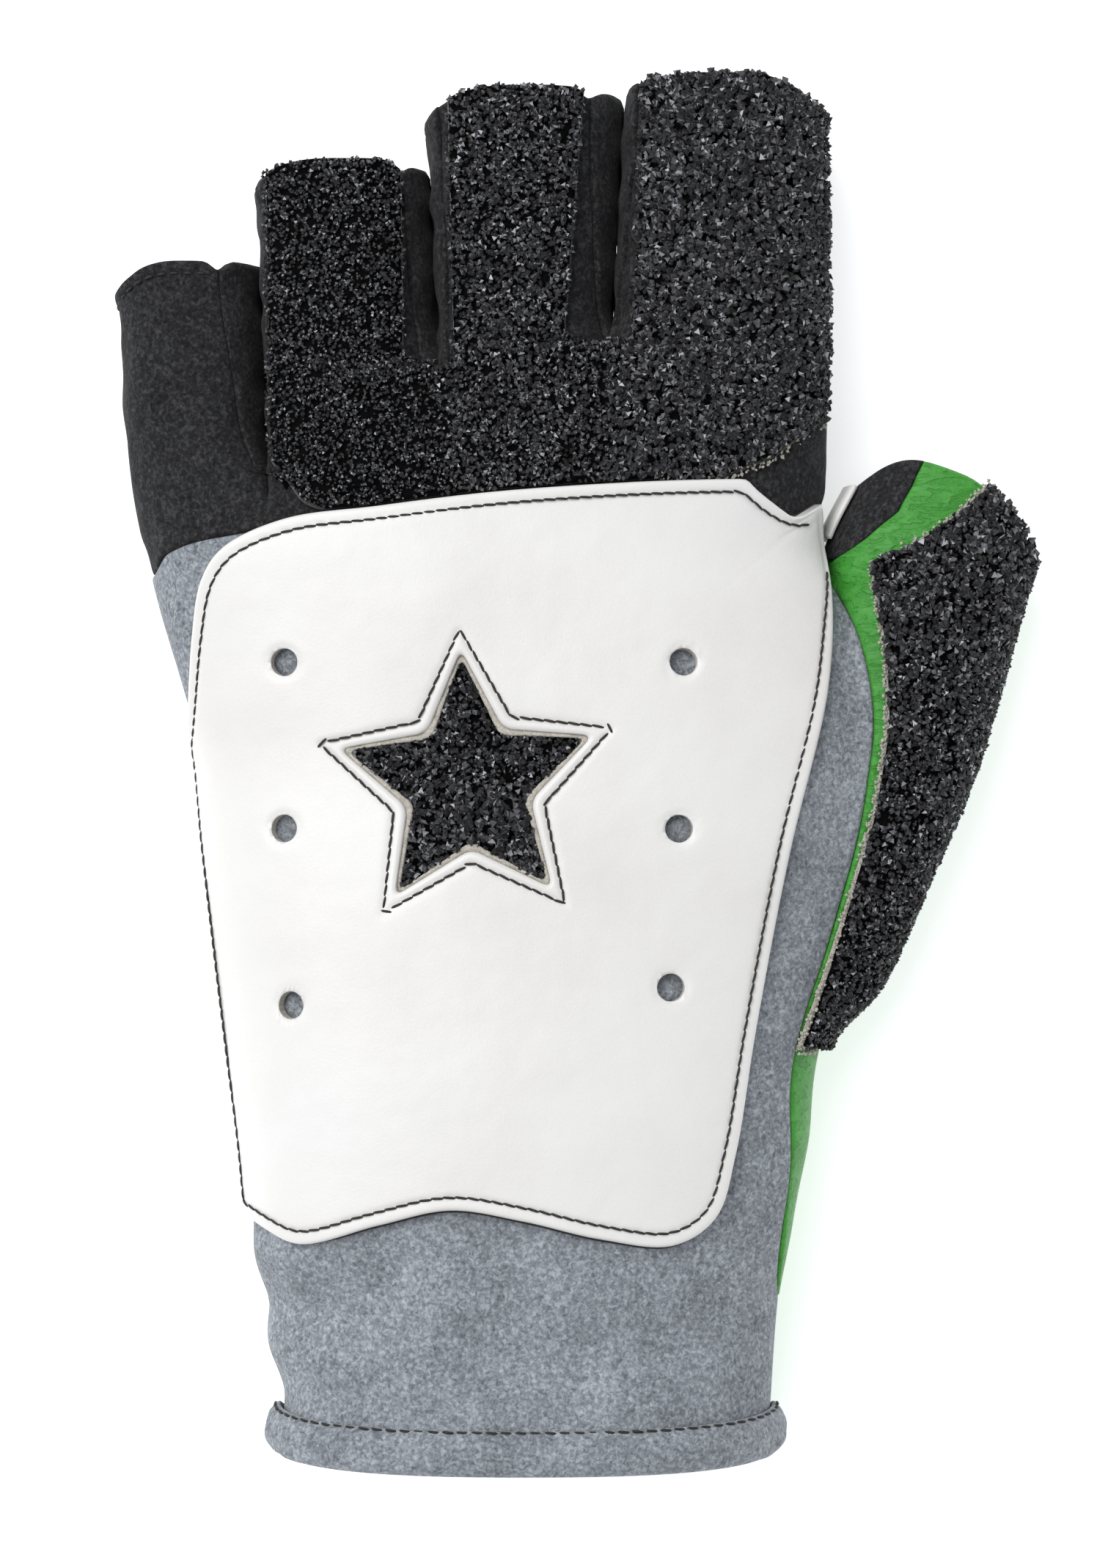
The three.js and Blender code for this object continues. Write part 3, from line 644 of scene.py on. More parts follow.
def turned(rng, count):
    """Random rotation matrices from random unit quaternions."""
    q = rng.normal(size=(count, 4))
    w, x, y, z = (q / np.linalg.norm(q, axis=1, keepdims=True)).T
    rows = [
        [1 - 2 * (y * y + z * z), 2 * (x * y - z * w), 2 * (x * z + y * w)],
        [2 * (x * y + z * w), 1 - 2 * (x * x + z * z), 2 * (y * z - x * w)],
        [2 * (x * z - y * w), 2 * (y * z + x * w), 1 - 2 * (x * x + y * y)],
    ]
    return np.moveaxis(np.array(rows), 2, 0)


def crumbs(place, normal, small, large, seed):
    """Angular grains: an octahedron for each place, with every corner pulled in or out, turned and squashed."""
    rng = np.random.default_rng(seed)
    corners = np.concatenate([np.eye(3), -np.eye(3)])
    faces = np.array([(0, 1, 2), (1, 3, 2), (3, 4, 2), (4, 0, 2), (1, 0, 5), (3, 1, 5), (4, 3, 5), (0, 4, 5)])
    count = len(place)
    size = rng.uniform(small, large, (count, 1, 1)) / 2
    own = corners[None] * rng.uniform(0.7, 1.3, (count, 6, 1)) * rng.uniform(0.75, 1.15, (count, 1, 3)) * size
    own = own + rng.uniform(-0.25, 0.25, own.shape) * size
    grains = np.einsum("nij,nkj->nki", turned(rng, count), own)
    centre = place + normal * 0.35 * size[:, 0]
    points = (grains + centre[:, None]).reshape(-1, 3)
    return points, (faces[None] + 6 * np.arange(count)[:, None, None]).reshape(-1, 3)


def tone_and_glints(made, seed):
    """Gives every face of a mesh a random value between 0 and 1, as an attribute for the rubber: low values give the
    grains' own tone, the highest give painted glints.
    """
    values = np.random.default_rng(seed).random(len(made.data.polygons))
    made.data.attributes.new("tone_and_glint", "FLOAT", "FACE").data.foreach_set("value", values)


def stitches(path, normal, pitch, length, width, rise=0.0, closed=False, slant=0.0):
    """Thread stitches along a path: capsules one pitch apart, six-sided rings whose radius follows a half circle.

    Each is turned by the slant, in radians, out of the path's direction.
    """
    track = np.concatenate([path, normal], 1)[None]
    if closed:
        track = np.concatenate([track, track[:, :1]], 1)
    total = np.linalg.norm(np.diff(track[0, :, :3], axis=0), axis=1).sum()
    count = max(1, int(round(total / pitch)))
    middle_share = (np.arange(count) + 0.5) / count
    reach = length / 2 / total
    at = spaced_track(track, middle_share)
    ahead = spaced_track(track, np.clip(middle_share + reach, 0, 1))[:, :3]
    behind = spaced_track(track, np.clip(middle_share - reach, 0, 1))[:, :3]
    up = at[:, 3:] / np.linalg.norm(at[:, 3:], axis=1, keepdims=True)
    along = ahead - behind
    along /= np.linalg.norm(along, axis=1, keepdims=True)
    along = along + np.cross(along, up) * slant
    side = np.cross(along, up)
    rings = np.array([-1, -0.92, -0.6, 0, 0.6, 0.92, 1.0])
    radius = width / 2 * np.array([0.15, 0.6, 0.95, 1.0, 0.95, 0.6, 0.15])
    arch = width * 0.35 * (1 - rings**2)
    turn = np.arange(6) * np.pi / 3
    centre = at[:, None, :3] + along[:, None] * (rings * length / 2)[None, :, None]
    centre = centre + up[:, None] * (arch + rise)[None, :, None]
    round_side = side[:, None, None] * np.cos(turn)[None, None, :, None]
    round_up = up[:, None, None] * np.sin(turn)[None, None, :, None]
    points = centre[:, :, None] + (round_side + round_up) * radius[None, :, None, None]
    i, j = np.meshgrid(np.arange(6), np.arange(6), indexing="ij")
    a, b = i * 6 + j, i * 6 + (j + 1) % 6
    walls = np.concatenate([np.stack([a, b, b + 6], -1).reshape(-1, 3), np.stack([a, b + 6, a + 6], -1).reshape(-1, 3)])
    fan = np.arange(1, 5)
    caps = np.concatenate([np.stack([0 * fan, fan + 1, fan], -1), np.stack([0 * fan, fan, fan + 1], -1) + 36])
    one = np.concatenate([walls, caps])
    return points.reshape(-1, 3), (one[None] + 42 * np.arange(count)[:, None, None]).reshape(-1, 3)


def spaced_track(track, shares):
    """Values of one track at shares of its length, measured on its first three columns."""
    run = np.cumsum(np.linalg.norm(np.diff(track[0, :, :3], axis=0, prepend=track[0, :1, :3]), axis=1))
    run = run / run[-1]
    return np.stack([np.interp(shares, run, track[0, :, k]) for k in range(track.shape[2])], -1)


# The forms as surfaces of a turn g round the section and a place y along the glove. From 0 at the left side
# the turn runs over the back to pi at the right side, then along the underside to two pi at the left again.

side_turn_hand = 0.105
side_turn_finger = 0.05


def across_of(turn, square):
    """Share of the half width at a turn: -cos^(2/n), with its sign."""
    c = np.cos(turn)
    return -np.sign(c) * np.abs(c) ** (2 / square)


def turn_of(across, square):
    """Turn on the upper half at a share of the half width."""
    a = np.clip(across, -1, 1)
    return np.arccos(-np.sign(a) * np.abs(a) ** (square / 2))


def hand_point(g, y, merged=False, offset=0.0):
    """Point of the hand's surface. Merged, its back rises into the thumb's."""
    h = hand(y, offset)
    upper = (g >= 0) & (g <= np.pi)
    square = np.where(upper, h.square, underside_square)
    rise = np.abs(np.sin(g)) ** (2 / square)
    x = h.centre + h.half * across_of(g, square)
    top = merged_top(x, y) if merged else h.side + (h.top - h.side - dent_depth(x, y)) * rise
    low = h.side - (h.side - h.lift) * np.minimum(1, flat_share * rise)
    return np.stack(np.broadcast_arrays(x, y, np.where(upper, top, low)), -1)


def thumb_point(g, y):
    """Point of the thumb's surface, with its back merged into the hand's below their fork."""
    t = thumb_of(y)
    upper = (g >= 0) & (g <= np.pi)
    square = np.where(upper, t.square, underside_square)
    rise = np.abs(np.sin(g)) ** (2 / square)
    x = t.centre + t.half * across_of(g, square)
    own = t.side + (t.top - t.side) * rise
    top = np.where(y < fork_line - 3, np.maximum(own, merged_top(x, y)), own)
    low = t.side - (t.side - t.lift) * np.minimum(1, flat_share * rise)
    return np.stack(np.broadcast_arrays(x, y, np.where(upper, top, low)), -1)


def finger_point(f, g, y):
    """Point of a finger's surface: the hand's below the furrows, the finger's own above them."""
    h = hand(y)
    upper = (g >= 0) & (g <= np.pi)
    square = np.where(upper, np.where(g < np.pi / 2, finger_square[f][0], finger_square[f][1]), underside_square)
    s = across_of(g, square)
    rise = np.abs(np.sin(g)) ** (2 / square)
    x = lerp(finger_edge(f, -1, y), finger_edge(f, 1, y), (s + 1) / 2)
    share = finger_share(f, s, y)
    top = lerp(top_over(h, x, y), h.side + (h.top * finger_top[f] - h.side) * rise, share)
    fall = np.minimum(1, flat_share * rise)
    low = lerp(bottom_over(h, x), h.side - (h.side - h.lift) * fall, share)
    return np.stack(np.broadcast_arrays(x, y, np.where(upper, top, low)), -1)


def finger_turn(f, x, y, lower=False):
    """Turn round a finger at a plan place."""
    left, right = finger_edge(f, -1, y), finger_edge(f, 1, y)
    s = np.clip(2 * (x - left) / (right - left) - 1, -1, 1)
    square = np.where(s < 0, finger_square[f][0], finger_square[f][1])
    return 2 * np.pi - turn_of(s, underside_square) if lower else turn_of(s, square)


def fork_start(i):
    """Point of a side strip, just below its fork."""
    return fork_y(i) - finger_wall - 2 * gap


def strip_seam_x(fork, side, y):
    """Seam of a side strip: it opens from a point at the fork with a power of its height to its full width."""
    finger = fork if side < 0 else fork + 1
    share = np.clip((y - fork_start(fork)) / (finger_tip(finger) - fork_start(fork)), 0, 1)
    width = strips["left" if side < 0 else "right"][fork]
    return fork_x(fork, y) + side * share ** strips["power"][fork] * (width + finger_gap / 2)


patch_turn = 0.5


def patch_edge_x(fork, side, y):
    """Edge of the crumb patch beside a fork: round at the fork within 4 mm, then almost parallel."""
    name = "patch_left" if side < 0 else "patch_right"
    finger = fork if side < 0 else fork + 1
    share = np.clip((y - fork_start(fork)) / (finger_tip(finger) - fork_start(fork)), 0, 1)
    opened = np.sqrt(1 - (1 - np.clip((y - fork_start(fork)) / 4, 0, 1)) ** 2)
    return fork_x(fork, y) + side * opened * lerp(strips[name][fork], strips[name + "_end"][fork], share)


def finger_turns(f, y, lower=False, edge=strip_seam_x, wider=0.0):
    """Turns of a finger's two long edges at y. The outer sides have one seam below the widest place."""
    left, right = -side_turn_finger, np.pi + side_turn_finger
    if edge is patch_edge_x:
        right = np.pi - patch_turn
    if f > 0:
        left = finger_turn(f, edge(f - 1, 1, y) - wider * (y > fork_start(f - 1)), y, lower)
    elif lower:
        left = 2 * np.pi - side_turn_finger
    if f < 3:
        right = finger_turn(f, edge(f, -1, y) + wider * (y > fork_start(f)), y, lower)
    return left + 0 * y, right + 0 * y


def finger_grid(f, v, u, start, level, end, lower=False, edge=strip_seam_x, wider=0.0):
    """Grid over a finger between its long seams, in rows from start over level to end.

    v runs from 0 to 2, with 1 at the level through the forks. The rows bend with the curves that start,
    level and end give at the finger's share s, found by a few rounds of substitution.
    """
    y = level(f, 0 * u + 0.0) + 0 * v
    for _ in range(14):
        left, right = finger_turns(f, y, lower, edge, wider)
        g = lerp(right, left, u) if lower else lerp(left, right, u)
        point = finger_point(f, g, y)
        x = point[..., 0]
        s = np.clip(2 * (x - finger_edge(f, -1, y)) / (finger_edge(f, 1, y) - finger_edge(f, -1, y)) - 1, -1, 1)
        below = lerp(start(x), level(f, s), np.clip(v, 0, 1))
        above = lerp(level(f, s), end(f, s), np.clip(v - 1, 0, 1))
        y = lerp(y, np.where(v < 1, below, above), 0.6)
    left, right = finger_turns(f, y, lower, edge, wider)
    g = lerp(right, left, u) if lower else lerp(left, right, u)
    rim = end(f, s) - y
    return np.concatenate([finger_point(f, g, y), rim[..., None]], -1)


def fork_level(f, s):
    """Height of the forks' line on either side of a finger."""
    return lerp(fork_start(f - 1), fork_start(f), (s + 1) / 2)


def rim_swell(distance):
    """Turned rim: a fold 2 mm wide and a third of a millimetre high, then the groove of its seam."""
    return 0.32 * smooth((2.3 - distance) / 0.7) - 0.28 * np.exp(-(((distance - 2.1) / 0.35) ** 2))


# The panel's upper face as a flat map: q is the length along the section from the line x = 0, y stays as it is

panel_top = panel_lift + panel_wall
map_y = np.arange(-8.0, 200.0)
map_turn = np.linspace(0, np.pi, 601)
map_points = hand_point(map_turn[None], map_y[:, None], offset=panel_top)
map_run = np.cumsum(np.linalg.norm(np.diff(map_points, axis=1, prepend=map_points[:, :1]), axis=2), axis=1)
map_row = 1000.0 * np.arange(len(map_y))[:, None]


def read_map(keys, values, at, y):
    """Value over a rising key in the two rows next to y, blended."""
    r = np.clip(y - map_y[0], 0, len(map_y) - 1.001)
    i = np.floor(r)
    known, wanted = (keys + map_row).ravel(), at + 1000.0 * i
    return lerp(np.interp(wanted, known, values.ravel()), np.interp(wanted + 1000.0, known, values.ravel()), r - i)


map_zero = read_map(map_points[..., 0], map_run, np.zeros(len(map_y)), map_y)
map_q = map_run - map_zero[:, None]


def q_of(x, y):
    """Length along the section to a plan place."""
    return read_map(map_points[..., 0], map_q, x, y)


def on_back(q, y):
    """Point of the back at a place of the flat map."""
    x = read_map(map_q, map_points[..., 0], q, y)
    z = read_map(map_q, map_points[..., 2], q, y)
    return np.stack([x, y, z], -1)


def back_normal(q, y):
    """Upward normal from small steps along and across."""
    step = 0.4
    across = on_back(q + step, y) - on_back(q - step, y)
    along = on_back(q, y + step) - on_back(q, y - step)
    normal = np.cross(across, along)
    return normal / np.linalg.norm(normal, axis=-1, keepdims=True)


def smooth_loop(points, per_span):
    """Closed centripetal Catmull-Rom curve through points."""
    p = [np.roll(points, shift, axis=0)[:, None] for shift in (1, 0, -1, -2)]
    knots = [np.zeros((len(points), 1, 1))]
    for a, b in zip(p, p[1:]):
        knots.append(knots[-1] + np.linalg.norm(b - a, axis=2, keepdims=True) ** 0.5)
    t = lerp(knots[1], knots[2], (np.arange(per_span) / per_span)[None, :, None])

    def step(a, b, from_knot, to_knot):
        return a + (b - a) * (t - from_knot) / (to_knot - from_knot)

    first = [step(p[i], p[i + 1], knots[i], knots[i + 1]) for i in range(3)]
    second = [step(first[i], first[i + 1], knots[i], knots[i + 2]) for i in range(2)]
    return step(second[0], second[1], knots[1], knots[2]).reshape(-1, points.shape[1])


# Colours are made with nodes on Object coordinates, in metres


class Nodes:
    """Short way to build a material's node tree."""

    def __init__(self, name):
        self.material = bpy.data.materials.new(name)
        self.material.use_nodes = True
        self.tree = self.material.node_tree
        self.shader = self.tree.nodes["Principled BSDF"]
        self.place = self.tree.nodes.new("ShaderNodeTexCoord").outputs["Object"]

    def add(self, kind, inputs=(), **settings):
        """A node with its settings and inputs, each a value or another node's output."""
        node = self.tree.nodes.new("ShaderNode" + kind)
        for key, value in settings.items():
            setattr(node, key, value)
        for key, value in dict(inputs).items():
            if isinstance(value, bpy.types.NodeSocket):
                self.tree.links.new(value, node.inputs[key])
            else:
                node.inputs[key].default_value = value
        return node

    def noise(self, scale, detail=3.0, rough=0.55, stretch=None, distortion=0.0):
        """Noise at a scale in features per metre, stretched by a mapping where one is given."""
        place = self.place
        if stretch:
            place = self.add("Mapping", {"Vector": place, "Scale": stretch}).outputs[0]
        inputs = {"Vector": place, "Scale": scale, "Detail": detail, "Roughness": rough, "Distortion": distortion}
        return self.add("TexNoise", inputs).outputs["Fac"]

    def ramp(self, value, *stops):
        """Colours along a value."""
        node = self.add("ValToRGB", {"Fac": value})
        elements = node.color_ramp.elements
        while len(elements) < len(stops):
            elements.new(0.5)
        for element, (position, color) in zip(elements, stops):
            element.position = position
            element.color = (*color, 1)
        return node.outputs["Color"]

    def math(self, operation, a, b=0.5, clamp=False):
        """A sum, product or the like of two values."""
        return self.add("Math", {0: a, 1: b}, operation=operation, use_clamp=clamp).outputs[0]

    def mix(self, share, a, b, blend="MIX"):
        """Blend of two colours."""
        node = self.add("Mix", data_type="RGBA", blend_type=blend)
        for key, value in {0: share, 6: a, 7: b}.items():
            if isinstance(value, bpy.types.NodeSocket):
                self.tree.links.new(value, node.inputs[key])
            else:
                node.inputs[key].default_value = (*value, 1) if isinstance(value, tuple) else value
        return node.outputs[2]

    def bump(self, height, depth, strength=1.0, under=None):
        """Bump of a depth in metres, over another bump where one is given."""
        inputs = {"Height": height, "Distance": depth, "Strength": strength}
        if under:
            inputs["Normal"] = under
        return self.add("Bump", inputs).outputs[0]

    def finish(self, **inputs):
        """Sets the shader's sockets and returns the material."""
        for key, value in inputs.items():
            socket = self.shader.inputs[key.replace("_", " ")]
            if isinstance(value, bpy.types.NodeSocket):
                self.tree.links.new(value, socket)
            else:
                socket.default_value = value
        return self.material


def suede(name, dark, mid, light, nap=0.0003, sheen=0.15, clumps=0.15):
    """Napped leather: short fibre marks under a millimetre long over soft clumps of a few millimetres."""
    n = Nodes(name)
    fibres = n.noise(1500, 3, 0.6, distortion=0.6)
    strokes = n.noise(900, 3, 0.6, stretch=(1.0, 0.7, 1.0), distortion=1.0)
    cloud = n.noise(120, 3, 0.5)
    value = n.math("ADD", n.math("MULTIPLY", fibres, 0.55), n.math("MULTIPLY", strokes, 0.45 - clumps))
    value = n.math("ADD", value, n.math("MULTIPLY", cloud, clumps))
    color = n.ramp(value, (0.36, dark), (0.5, mid), (0.64, light))
    height = n.math("ADD", n.math("MULTIPLY", fibres, 0.6), n.math("MULTIPLY", strokes, 0.4))
    return n.finish(
        Base_Color=color,
        Roughness=0.95,
        Sheen_Weight=sheen,
        Sheen_Roughness=0.5,
        Specular_IOR_Level=0.12,
        Normal=n.bump(height, nap),
    )


def pebbled(name, dark, mid, light, roughness=0.42):
    """Shrunken leather: fine creases a few millimetres long over a soft grain."""
    n = Nodes(name)
    grain = n.noise(1500, 3, 0.6, distortion=0.4)
    wrinkles = n.noise(480, 3, 0.55, stretch=(0.6, 1.6, 1.0), distortion=0.5)
    crease = n.ramp(wrinkles, (0.4, (0, 0, 0)), (0.5, (1, 1, 1)), (0.62, (0.6,) * 3))
    cloud = n.noise(80, 3, 0.55)
    value = n.math("ADD", n.math("MULTIPLY", wrinkles, 0.5), n.math("MULTIPLY", cloud, 0.5))
    color = n.ramp(value, (0.34, dark), (0.5, mid), (0.66, light))
    folds = n.bump(crease, 0.00014)
    return n.finish(
        Base_Color=color,
        Roughness=roughness,
        Specular_IOR_Level=0.3,
        Normal=n.bump(grain, 0.00012, under=folds),
    )


def smooth_leather(name, dark, mid, light):
    """Stiff coated leather: almost even, with faint pores and very shallow waves."""
    n = Nodes(name)
    pores = n.noise(2400, 3, 0.6)
    cloud = n.noise(30, 3, 0.5)
    value = n.math("ADD", n.math("MULTIPLY", cloud, 0.8), n.math("MULTIPLY", pores, 0.2))
    color = n.ramp(value, (0.3, dark), (0.5, mid), (0.7, light))
    wave = n.bump(n.noise(90, 2, 0.5), 0.0004)
    return n.finish(
        Base_Color=color,
        Roughness=0.38,
        Coat_Weight=0.15,
        Coat_Roughness=0.25,
        Normal=n.bump(pores, 0.00004, under=wave),
    )


def crumb_rubber(name):
    """Granulated rubber: facets from black to grey by each face's random value, the grains' own tone, and the few
    palest faces as painted glints, glossier than the rest.
    """
    n = Nodes(name)
    # Each face's random value: up to about 0.9 the grains' own tone, above it painted glints, pale facets standing in
    # for reflected light.
    own = n.add("Attribute", attribute_name="tone_and_glint").outputs["Fac"]
    stops = ((0.0, 0.003), (0.42, 0.014), (0.72, 0.04), (0.88, 0.11), (0.965, 0.25), (1.0, 0.5))
    color = n.ramp(own, *[(at, (v, v, 1.07 * v)) for at, v in stops])
    gloss = n.ramp(own, (0.0, (0.9,) * 3), (0.02, (0.6,) * 3), (0.8, (0.45,) * 3), (1.0, (0.25,) * 3))
    shine = n.ramp(own, (0.0, (0.05,) * 3), (0.02, (0.35,) * 3))
    fine_noise = n.noise(2600, 3, 0.6)
    return n.finish(
        Base_Color=color,
        Roughness=gloss,
        Specular_IOR_Level=shine,
        Normal=n.bump(fine_noise, 0.00012),
    )


def felt(name, dark, mid, light):
    """Pale fuzzy textile at the cut edges of the patches."""
    n = Nodes(name)
    fuzz = n.noise(2200, 5, 0.7, distortion=0.4)
    color = n.ramp(fuzz, (0.3, dark), (0.5, mid), (0.7, light))
    return n.finish(Base_Color=color, Roughness=1.0, Sheen_Weight=0.4, Normal=n.bump(fuzz, 0.0003))


def thread(name, color):
    """Twisted sewing thread."""
    n = Nodes(name)
    twist = n.noise(3500, 2, 0.5, stretch=(1.0, 1.0, 1.0))
    shade = n.ramp(twist, (0.35, tuple(0.6 * c for c in color)), (0.65, color))
    return n.finish(Base_Color=shade, Roughness=0.7, Normal=n.bump(twist, 0.0001))


grey_suede = suede("grey_suede", (0.105, 0.115, 0.13), (0.235, 0.255, 0.28), (0.43, 0.46, 0.5))
black_suede = suede(
    "black_suede", (0.008, 0.008, 0.009), (0.022, 0.022, 0.023), (0.058, 0.058, 0.06), sheen=0.05, clumps=0.05
)
green_leather = pebbled("green_leather", (0.034, 0.215, 0.022), (0.05, 0.28, 0.034), (0.07, 0.34, 0.05))
dark_felt = felt("dark_felt", (0.01, 0.01, 0.01), (0.03, 0.03, 0.031), (0.09, 0.09, 0.09))
white_leather = smooth_leather("white_leather", (0.72, 0.7, 0.67), (0.77, 0.757, 0.735), (0.8, 0.793, 0.78))
rubber = crumb_rubber("rubber_crumb")
cream_felt = felt("cream_felt", (0.35, 0.31, 0.25), (0.55, 0.51, 0.44), (0.72, 0.69, 0.63))
dark_thread = thread("dark_thread", (0.022, 0.019, 0.017))


# Camera and light


def stand():
    """Pale floor, soft light from the upper left and a camera straight above."""
    size = 1.5
    corners = [(-size, -size, 0), (size, -size, 0), (size, size, 0), (-size, size, 0)]
    mesh = bpy.data.meshes.new("floor")
    mesh.from_pydata(corners, [], [(0, 1, 2, 3)])
    floor = bpy.data.objects.new("floor", mesh)
    bpy.context.scene.collection.objects.link(floor)
    n = Nodes("floor_paper")
    paper = (0.93, 0.935, 0.94, 1)
    mesh.materials.append(
        n.finish(Base_Color=paper, Roughness=0.9, Emission_Color=paper, Emission_Strength=0.6)
    )

    world = bpy.data.worlds.new("studio")
    world.use_nodes = True
    world.node_tree.nodes["Background"].inputs["Color"].default_value = (0.95, 0.97, 1.0, 1)
    world.node_tree.nodes["Background"].inputs["Strength"].default_value = 0.6
    bpy.context.scene.world = world

    light = bpy.data.lights.new("key", "SUN")
    light.energy = 2.0
    light.angle = np.radians(50)
    key = bpy.data.objects.new("key", light)
    key.rotation_euler = Vector((0.55, -0.45, -1.0)).to_track_quat("-Z", "Y").to_euler()
    bpy.context.scene.collection.objects.link(key)

    pixel = 0.12
    picture = (1511, 2138)
    reach = 1.0
    reference_height = 0.022
    centre = (755.5, 1069.0)
    model_middle = 781.0
    cuff_line = 2010.0
    camera = bpy.data.cameras.new("camera")
    camera.sensor_fit = "VERTICAL"
    camera.sensor_height = 36.0
    camera.lens = camera.sensor_height * reach / (picture[1] * pixel / 1000)
    camera.clip_start = 0.05
    eye = bpy.data.objects.new("camera", camera)
    x = (centre[0] - model_middle) * pixel
    y = (cuff_line - centre[1]) * pixel
    eye.location = (*to_frame((x, y, 0.0))[:2], reach + reference_height)
    bpy.context.scene.collection.objects.link(eye)
    bpy.context.scene.camera = eye
    bpy.context.scene.view_settings.view_transform = "Standard"


# Pieces

shell_start = hem_wall + gap


def cuff_rise(g):
    """How far the cuff's edge lies above the line y = 0: most at both sides, a little over the back."""
    slope = (1 - np.abs(np.sin(g))) ** 1.5
    return lerp(np.where(np.sin(g) > 0, crown_rise, 0), side_rise, slope)

fine = np.linspace(0, 1, 241)[None]


def back_border(y):
    """Turn of the grey back's right edge: on the back, and round the side's seam near the cuff."""
    h = hand(y)
    inside = turn_of((back_edge_x(y) - h.centre) / h.half, h.square)
    low = smooth((0.165 * hand_length - y) / 9)
    return np.where(back_edge_x(y) < h.right, inside, np.pi) + side_turn_hand * low


def hole_bells(x, y):
    """Cloth that swells a little into the punched holes."""
    lift = np.zeros(np.broadcast(x, y).shape)
    for across, along in hole_places:
        away = np.hypot(x - across * hand_width, y - along * hand_length)
        lift += 0.4 * smooth((hole_diameter / 2 - away) / 1.6)
    return lift


def cuff_folds(x, y):
    """Soft folds at the left side of the cuff: two bulges with a hollow between and one below."""
    side = smooth((-0.2 * hand_width - x) / (0.2 * hand_width))
    folds = table("middle wide high", (36, 4.5, 0.9), (28, 3.0, -0.6), (21, 4.0, 0.8), (13.5, 2.5, -0.3))
    shape = [high * np.exp(-(((y - at) / wide) ** 2)) for at, wide, high in zip(*folds.values())]
    return side * sum(shape)


def grey_back():
    """Back of hand and cuff, from the seam under its left side to its right edge."""
    v = spaced(0.83 * hand_length, 1.2, 0.7)[:, None]
    y = lerp(shell_start, knuckle_y(0.0), v) + 0 * fine
    for _ in range(5):
        g = lerp(-side_turn_hand, back_border(y), fine)
        y = lerp(shell_start + cuff_rise(g), knuckle_y(hand_point(g, y)[..., 0]), v)
    grid = hand_point(lerp(-side_turn_hand, back_border(y), fine), y, merged=True)
    grid = even(grid, spaced(110, 1.0, 0.7))
    lift = hole_bells(grid[..., 0], grid[..., 1]) + cuff_folds(grid[..., 0], grid[..., 1])
    grid = np.concatenate([grid, lift[..., None]], -1)
    shape = sheet([grid], hand_wall, 0.7, relief=lambda p: 0.2 * waves(p, 20, 3))
    piece("back_of_hand_suede", *shape, grey_suede, "grey_suede", ["back_of_hand"])


def lap_x(y):
    """Right edge of the thumb's black lap."""
    share = np.clip((y - fork_line + lap_start) / (lap_start + thumb_length / 2), 0, 1) ** 0.6
    return thumb_of(y).left + 0.5 + lap_width * share


def thumb_start(y):
    """Turn where the green of the thumb begins on its back: at the hand's seam, then beside the lap."""
    t = thumb_of(y)
    x = np.where(y > fork_line - lap_start, np.maximum(lap_x(y), thumb_seam_x(y)), thumb_seam_x(y))
    across = (x - t.centre) / t.half
    return turn_of(across, t.square), 2 * np.pi - turn_of(across, underside_square)


